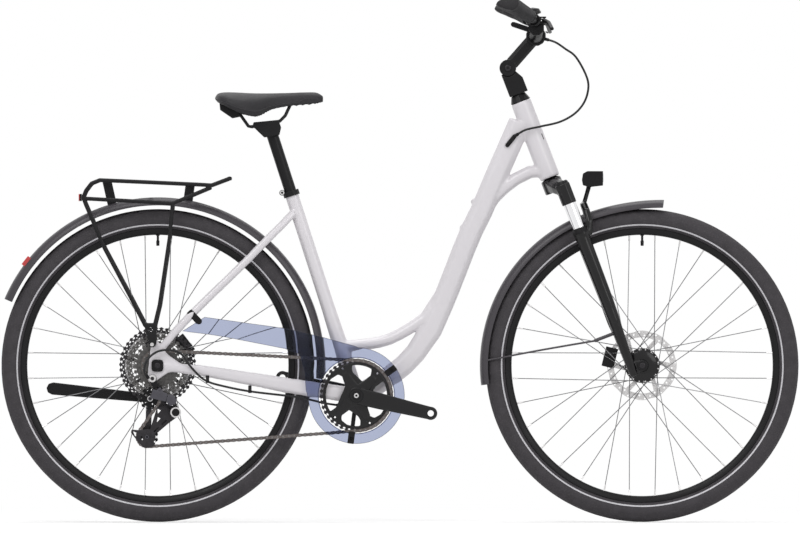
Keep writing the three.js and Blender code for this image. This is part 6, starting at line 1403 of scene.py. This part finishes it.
class BICYCLE_OT_cockpit(bpy.types.Operator):
    """Build the stem, the handlebar, the grips, the levers, the shifter and the bell"""
    bl_idname = "bicycle.cockpit"
    bl_label = "Cockpit"

    def execute(self, context):
        grain = context.scene.bicycle_frame.small_voxel
        rounded("stem_base_casting", "stem_base", "steerer", "satin", 1.0 * MM, 7, grow=0.2 * MM)
        rounded("stem_arm_casting", "stem_arm", "cockpit", "satin", 1.0 * MM, 8, grow=0.2 * MM)
        self.bar()
        for side, name in ((-1, "right"), (1, "left")):
            self.grip(side, name)
            rounded(f"brake_lever_body_{name}_case", f"brake_lever_body_{name}", "cockpit", "plastic", grain, 6)
            rounded(f"brake_lever_{name}_blade", f"brake_lever_{name}", f"{name}_lever", "lever", grain, 9,
                    grow=0.3 * MM)
        rounded("shifter_case", "shifter", "cockpit", "plastic", grain, 7)
        rounded("shifter_paddle_blade", "shifter_paddle", "paddle", "plastic", 0.7 * MM, 6)
        rounded("bell_dome", "bell", "cockpit", "gloss", 0.7 * MM, 8, grow=0.15 * MM)
        screws = Shell()
        axis = Vector((0.66, 0, 0.75)).normalized()
        up = Vector((-axis.z, 0, axis.x))
        for side in (-1, 1):
            for turn in (-1, 1):
                place = BAR_CLAMP + axis * 21.5 * MM + up * turn * 13 * MM + SIDE * side * 14 * MM
                screws.join(bolt(place, axis, 3.2 * MM, 2.6 * MM))
        place_piece("stem_face_bolts", screws, "cockpit", "dark")
        heads = Shell()
        low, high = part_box("stem_base")
        for side in (-1, 1):
            face = low[1] if side < 0 else high[1]
            heads.join(bolt(STEM_PIVOT + SIDE * (face - side * 0.4 * MM), SIDE * side, 7 * MM, 1.2 * MM))
        place_piece("stem_pivot_bolt", heads, "steerer", "dark")
        return {"FINISHED"}

    def bar(self):
        """The handlebar's tube, thick in the clamp and slim outside it"""
        path = list(reversed(bar_half(-1))) + bar_half(1)[1:]
        radii = [(15.9 if abs(p.y) < 0.030 else 15.9 - 4.8 * min(1, (abs(p.y) - 0.030) / 0.022)
                  if abs(p.y) < 0.052 else 11.1) * MM for p in path]
        place_piece("handlebar_tube", sweep(path, radii, sides=32, reference=UP), "cockpit", "satin", ["handlebar"])

    def grip(self, side, name):
        """A grip with a palm rest that grows towards its outer end, ribbed underneath"""
        inner, outer = bar_spots(side)[-2:]
        way = (outer - inner).normalized()
        end = outer + way * 4 * MM
        rise = (UP - way * UP.dot(way)).normalized()
        back = rise.cross(way).normalized() * side
        stations = [(0, 0), (0.05, 0), (0.3, 0.15), (0.6, 0.7), (0.85, 1.0), (1, 0.75)]
        sides, steps = 40, 64
        rings = []

        def wing(share):
            """How far the palm rest has grown at a share of the grip's length"""
            for (s0, w0), (s1, w1) in zip(stations, stations[1:]):
                if s0 <= share <= s1:
                    t = (share - s0) / (s1 - s0)
                    return w0 + (w1 - w0) * t * t * (3 - 2 * t)
            return stations[-1][1]

        for i in range(steps + 1):
            share = i / steps
            edge = min(share, 1 - share) * 128
            radius = (16 - 3.0 * max(0, 1 - edge / 3.5) ** 2) * MM
            rings.append([])
            for k, a in enumerate(turns(sides)):
                lobe = max(0, math.cos(a)) ** 2 * 27 * MM * wing(share)
                rib = 0.45 * MM * (1 if (i // 2 + k // 2) % 2 else -0.6) if 4 < i < steps - 4 else 0
                r = radius + (rib if abs(math.cos(a)) < 0.9 else 0)
                rings[-1].append(end - way * 128 * MM * (1 - share) + back * (math.cos(a) * r + lobe)
                                 + rise * math.sin(a) * r)
        place_piece(f"grip_{name}_rubber", loft(rings), "cockpit", "grip", [f"grip_{name}"], angle=60)
        start = end - way * 130 * MM
        place_piece(f"grip_{name}_clamp", rod(start - way * 5 * MM, start + way * 2 * MM, 15.6 * MM, 40),
                    "cockpit", "satin", bevel=0.5 * MM)


# Saddle

# Rows from the tail to the nose: share of the length, half width, drop of the top and drop of the skirt
SADDLE = [(0, 0.3, 0.2, 0.3), (0.03, 0.7, 0.05, 0.45), (0.1, 0.93, 0, 0.6), (0.2, 1, 0, 0.82),
          (0.3, 0.97, 0.02, 0.97), (0.4, 0.78, 0.03, 1), (0.52, 0.5, 0.03, 0.75), (0.66, 0.34, 0.02, 0.62),
          (0.82, 0.28, 0, 0.56), (0.94, 0.24, 0.02, 0.5), (1, 0.13, 0.16, 0.42)]


class BICYCLE_OT_saddle(bpy.types.Operator):
    """Build the saddle with its seams, the rails, the clamp and the seat post"""
    bl_idname = "bicycle.saddle"
    bl_label = "Saddle"

    def execute(self, context):
        self.pad()
        rounded("saddle_rails_rod", "saddle_rails", "saddle_and_post", "satin", 0.9 * MM, 7, grow=0.5 * MM)
        rounded("saddle_clamp_casting", "saddle_clamp", "saddle_and_post", "clamp", 0.9 * MM, 6)
        foot = BRACKET + SEAT_UP * 372 * MM
        top = BRACKET + SEAT_UP * 638 * MM
        place_piece("seat_post_tube", rod(foot, top, 13.6 * MM, 56), "saddle_and_post", "satin", ["seat_post"])
        return {"FINISHED"}

    def sections(self, sides=56, steps=72):
        """Rings across the saddle, from its tail to its nose"""
        rear, length, depth, half_width, top = -424.5, 248, 62, 84, 986.5
        rows = smoothed([(a * 4, b, 0) for a, b, _, _ in SADDLE], steps)
        drops = smoothed([(a * 4, c, d) for a, _, c, d in SADDLE], steps)
        rings = []
        for i in range(steps + 1):
            along = min(1, max(0, rows[i].x / 4))
            wide = rows[i].y
            share = 0
            while share < len(drops) - 2 and drops[share + 1].x / 4 < along:
                share += 1
            a, b = drops[share], drops[share + 1]
            t = (along * 4 - a.x) / max(b.x - a.x, 1e-9)
            drop, skirt_drop = a.y + (b.y - a.y) * t, a.z + (b.z - a.z) * t
            high = top - depth * drop
            skirt = top - depth * skirt_drop
            half = half_width * wide
            corners = []
            for angle in turns(sides, 0.5):
                c, s = math.cos(angle), math.sin(angle)
                if s > 0:
                    z = skirt + (high - skirt) * s ** 0.45
                    groove = 2.6 * math.exp(-(c / 0.16) ** 2) * min(1, max(0, along / 0.2)) \
                        * min(1, max(0, (0.92 - along) / 0.2))
                    z -= groove
                else:
                    z = skirt + (high - skirt) * 0.35 * (-s) ** 0.5
                x = rear + length * along
                y = half * c * (1 if s > 0 else 0.93)
                corners.append(Vector((x, y, z)) * MM)
            rings.append(corners)
        return rings

    def pad(self):
        """The padded cover, and a line of piping along each side"""
        rings = self.sections()
        cover = rounded("saddle_skin", "saddle_cover", "saddle_and_post", "leather", 1.3 * MM, 16, own=loft(rings))
        for side, name in ((-1, "right"), (1, "left")):
            seam = []
            for corners in rings[3:-2]:
                spot = max(corners, key=lambda v: side * v.y + 0.05 * v.z)
                seam.append(spot + Vector((0, side * 0.2 * MM, 1.5 * MM)))
            place_piece(f"saddle_seam_{name}", sweep(smoothed(seam[::3], 60), 0.9 * MM, sides=8),
                        "saddle_and_post", "thread")


# Cables

# The two runs of the shift cable in millimetres, each from the shifter's end to the changer's
UPPER = [(333, -142, 1106), (356, -120, 1099), (379, -100, 1084), (402, -78, 1067), (424, -55, 1030),
         (432, -42, 1000), (424, -38, 966), (402, -38, 938), (367, -38, 918), (321, -36, 907),
         (287, -33, 899), (263, -28, 885)]
LOWER = [(-136, -20, 267), (-180, -31, 274), (-230, -44, 286), (-344, -58, 300), (-413, -68, 314),
         (-441, -76, 323), (-459, -80, 335), (-482, -84, 360), (-498, -86, 383), (-516, -86, 393),
         (-539, -86, 395), (-562, -88, 388), (-580, -92, 370), (-586, -94, 345), (-576, -90, 330)]


class BICYCLE_OT_cables(bpy.types.Operator):
    """Build the shift cable's two runs with their ferrules and the grommet"""
    bl_idname = "bicycle.cables"
    bl_label = "Cables"

    def execute(self, context):
        radius = context.scene.bicycle_frame.cable_radius
        for name, route, node in (("upper", UPPER, "shift_cable_upper"), ("lower", LOWER, "shift_cable_lower")):
            path = smoothed([Vector(p) * MM for p in route], 110)
            tips = []
            for a, b in ((path[0], path[4]), (path[-1], path[-5])):
                way = (b - a).normalized()
                tips.append(tapered(a - way * 0.5 * MM, a + way * 11 * MM,
                                    [(0, radius * 1.5), (0.8, radius * 1.5), (1, radius * 1.1)], 16))
            ends = Shell().join(tips[1])
            if name == "upper":
                # The point of the path where the run beside the head tube begins, which only steers
                bend = 58
                place_piece("cable_upper_tip", tips[0], "cockpit", "plastic")
                far = place_piece("cable_upper_bend", sweep(path[:bend + 1], radius, sides=14), None, "sleeve")
                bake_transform(far)
                near = place_piece("cable_upper_sleeve", sweep(path[bend:], radius, sides=14), None, "sleeve",
                                   [node])
                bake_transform(near)
                low = Vector((263, -24.5, 885)) * MM
                high = Vector((246, -24.5, 864)) * MM
                way = (high - low).normalized()
                ends.join(sweep([low - way * 4 * MM, low, high, high + way * 4 * MM],
                                [r * MM for r in (1.6, 3, 3, 1.6)], [r * MM for r in (3.2, 5, 5, 3.2)], 20))
            else:
                ends.join(tips[0])
                place_piece("cable_lower_sleeve", sweep(path, radius, sides=14), "frame_body", "sleeve", [node])
                for i in (3, 5):
                    x, y, z = route[i]
                    at = Vector((x, y, z)) * MM
                    ends.join(sweep([at - Vector((4 * MM, 0, 0)), at + Vector((4 * MM, 0, 0))], radius * 1.6,
                                    radius * 1.6, 20))
                    ends.join(sweep([at + UP * 2 * MM, at + UP * 13 * MM + SIDE * 5 * MM], 1.4 * MM, 4 * MM, 16,
                                    reference=SIDE))
            place_piece(f"cable_{name}_ferrules", ends, "frame_body", "plastic")
        return {"FINISHED"}


# Camera, floor and light

class BICYCLE_OT_stage(bpy.types.Operator):
    """Set the camera, the pale floor and the soft light"""
    bl_idname = "bicycle.stage"
    bl_label = "Stage"

    def execute(self, context):
        scene = context.scene
        scene.view_settings.view_transform = "Standard"
        camera = bpy.data.cameras.new("camera")
        camera.sensor_width = 36
        distance, height = 40.0, 585 * MM
        camera.lens = camera.sensor_width * distance / PICTURE_WIDTH
        camera.clip_end = 200
        holder = stand("camera", camera)
        holder.location = (0, -distance, height)
        holder.rotation_euler = (math.radians(90), 0, 0)
        scene.camera = holder
        self.floor()
        self.lights()
        self.world(scene)
        return {"FINISHED"}

    def seen(self, node):
        """1 where a surface is seen, also through glass or in a reflection, and 0 where it only gives light"""
        path = node("LightPath").outputs
        first = node("Math", {0: path["Is Camera Ray"], 1: path["Is Transmission Ray"]}, operation="MAXIMUM")
        return node("Math", {0: first.outputs[0], 1: path["Is Glossy Ray"]}, operation="MAXIMUM").outputs[0]

    def floor(self):
        """A pale floor that keeps the shadow and fades to white farther out"""
        half = 60
        mesh = bpy.data.meshes.new("floor")
        mesh.from_pydata([(-half, -half, 0), (half, -half, 0), (half, half, 0), (-half, half, 0)], [],
                         [(0, 1, 2, 3)])
        floor = stand("floor", mesh)
        floor.location.z = -0.5 * MM
        mat = bpy.data.materials.new("floor_pale")
        mat.use_nodes = True
        node = wiring(mat.node_tree)
        seen = self.seen(node)
        diffuse = node("BsdfDiffuse", {"Color": (0.80, 0.80, 0.80, 1)})
        strength = node("Math", {0: seen, 1: 0.30}, operation="MULTIPLY")
        glow = node("Emission", {"Color": (1, 1, 1, 1), "Strength": strength.outputs[0]})
        near = node("AddShader", {0: diffuse.outputs[0], 1: glow.outputs[0]})
        reach = node("VectorMath", {0: node("TexCoord").outputs["Object"]}, operation="LENGTH")
        fade = node("MapRange", {"Value": reach.outputs["Value"], "From Min": 1.0, "From Max": 2.4},
                    interpolation_type="SMOOTHSTEP")
        masked = node("Math", {0: fade.outputs["Result"], 1: seen}, operation="MULTIPLY")
        white = node("Emission", {"Color": (1, 1, 1, 1)})
        mixed = node("MixShader", {0: masked.outputs[0], 1: near.outputs[0], 2: white.outputs[0]})
        node("OutputMaterial", {"Surface": mixed.outputs[0]})
        mesh.materials.append(mat)

    def lights(self):
        """Three soft round lamps: key, fill and top"""
        for name, place, target, size, power in (
                ("key", (-1.6, -3.2, 3.6), (0, 0, 0.5), 2.4, 62),
                ("fill", (2.6, -3.4, 2.2), (0, 0, 0.5), 2.6, 34),
                ("top", (0, 0.6, 4.2), (0, 0, 0.4), 3.0, 52)):
            lamp = bpy.data.lights.new(name, "AREA")
            lamp.shape = "DISK"
            lamp.size = size
            lamp.energy = power
            holder = stand(name, lamp)
            holder.location = place
            way = Vector(target) - Vector(place)
            holder.rotation_euler = way.to_track_quat("-Z", "Y").to_euler()

    def world(self, scene):
        """A white world, dimmer where it only gives light"""
        world = bpy.data.worlds.new("studio")
        scene.world = world
        world.use_nodes = True
        node = wiring(world.node_tree)
        level = node("MapRange", {"Value": self.seen(node), "To Min": 0.55, "To Max": 1.0})
        back = node("Background", {"Color": (1, 1, 1, 1), "Strength": level.outputs["Result"]})
        node("OutputWorld", {"Surface": back.outputs[0]})


class BICYCLE_PT_panel(bpy.types.Panel):
    """Sizes and build steps of the bicycle"""
    bl_idname = "BICYCLE_PT_panel"
    bl_label = "Bicycle"
    bl_space_type = "VIEW_3D"
    bl_region_type = "UI"
    bl_category = "Bicycle"

    def draw(self, context):
        layout = self.layout
        for group in (context.scene.bicycle_wheels, context.scene.bicycle_drive, context.scene.bicycle_frame):
            box = layout.box()
            for name in group.__annotations__:
                box.prop(group, name)
        for operator in OPERATORS:
            layout.operator(operator.bl_idname)


OPERATORS = [
    BICYCLE_OT_stage,
    BICYCLE_OT_wheels,
    BICYCLE_OT_axles,
    BICYCLE_OT_frame,
    BICYCLE_OT_fork,
    BICYCLE_OT_drive,
    BICYCLE_OT_derailleur,
    BICYCLE_OT_brakes,
    BICYCLE_OT_mudguards,
    BICYCLE_OT_rack,
    BICYCLE_OT_lights,
    BICYCLE_OT_guard,
    BICYCLE_OT_stand,
    BICYCLE_OT_cockpit,
    BICYCLE_OT_saddle,
    BICYCLE_OT_cables,
]
GROUPS = [BICYCLE_wheel_sizes, BICYCLE_drive_sizes, BICYCLE_frame_sizes]


def register():
    """Registers the classes and puts the groups of sizes on the scene"""
    for kind in [*GROUPS, *OPERATORS, BICYCLE_PT_panel]:
        bpy.utils.register_class(kind)
    bpy.types.Scene.bicycle_wheels = PointerProperty(type=BICYCLE_wheel_sizes)
    bpy.types.Scene.bicycle_drive = PointerProperty(type=BICYCLE_drive_sizes)
    bpy.types.Scene.bicycle_frame = PointerProperty(type=BICYCLE_frame_sizes)


def unregister():
    """Takes the groups of sizes and the classes away again"""
    del bpy.types.Scene.bicycle_frame
    del bpy.types.Scene.bicycle_drive
    del bpy.types.Scene.bicycle_wheels
    for kind in reversed([*GROUPS, *OPERATORS, BICYCLE_PT_panel]):
        bpy.utils.unregister_class(kind)


def main():
    """Builds the whole bicycle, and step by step"""
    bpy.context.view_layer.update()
    register()
    make_looks()
    for operator in OPERATORS:
        group, name = operator.bl_idname.split(".")
        result = getattr(getattr(bpy.ops, group), name)()
        if result != {"FINISHED"}:
            raise RuntimeError(f"{operator.bl_idname} did not finish")


if __name__ == "__main__":
    main()
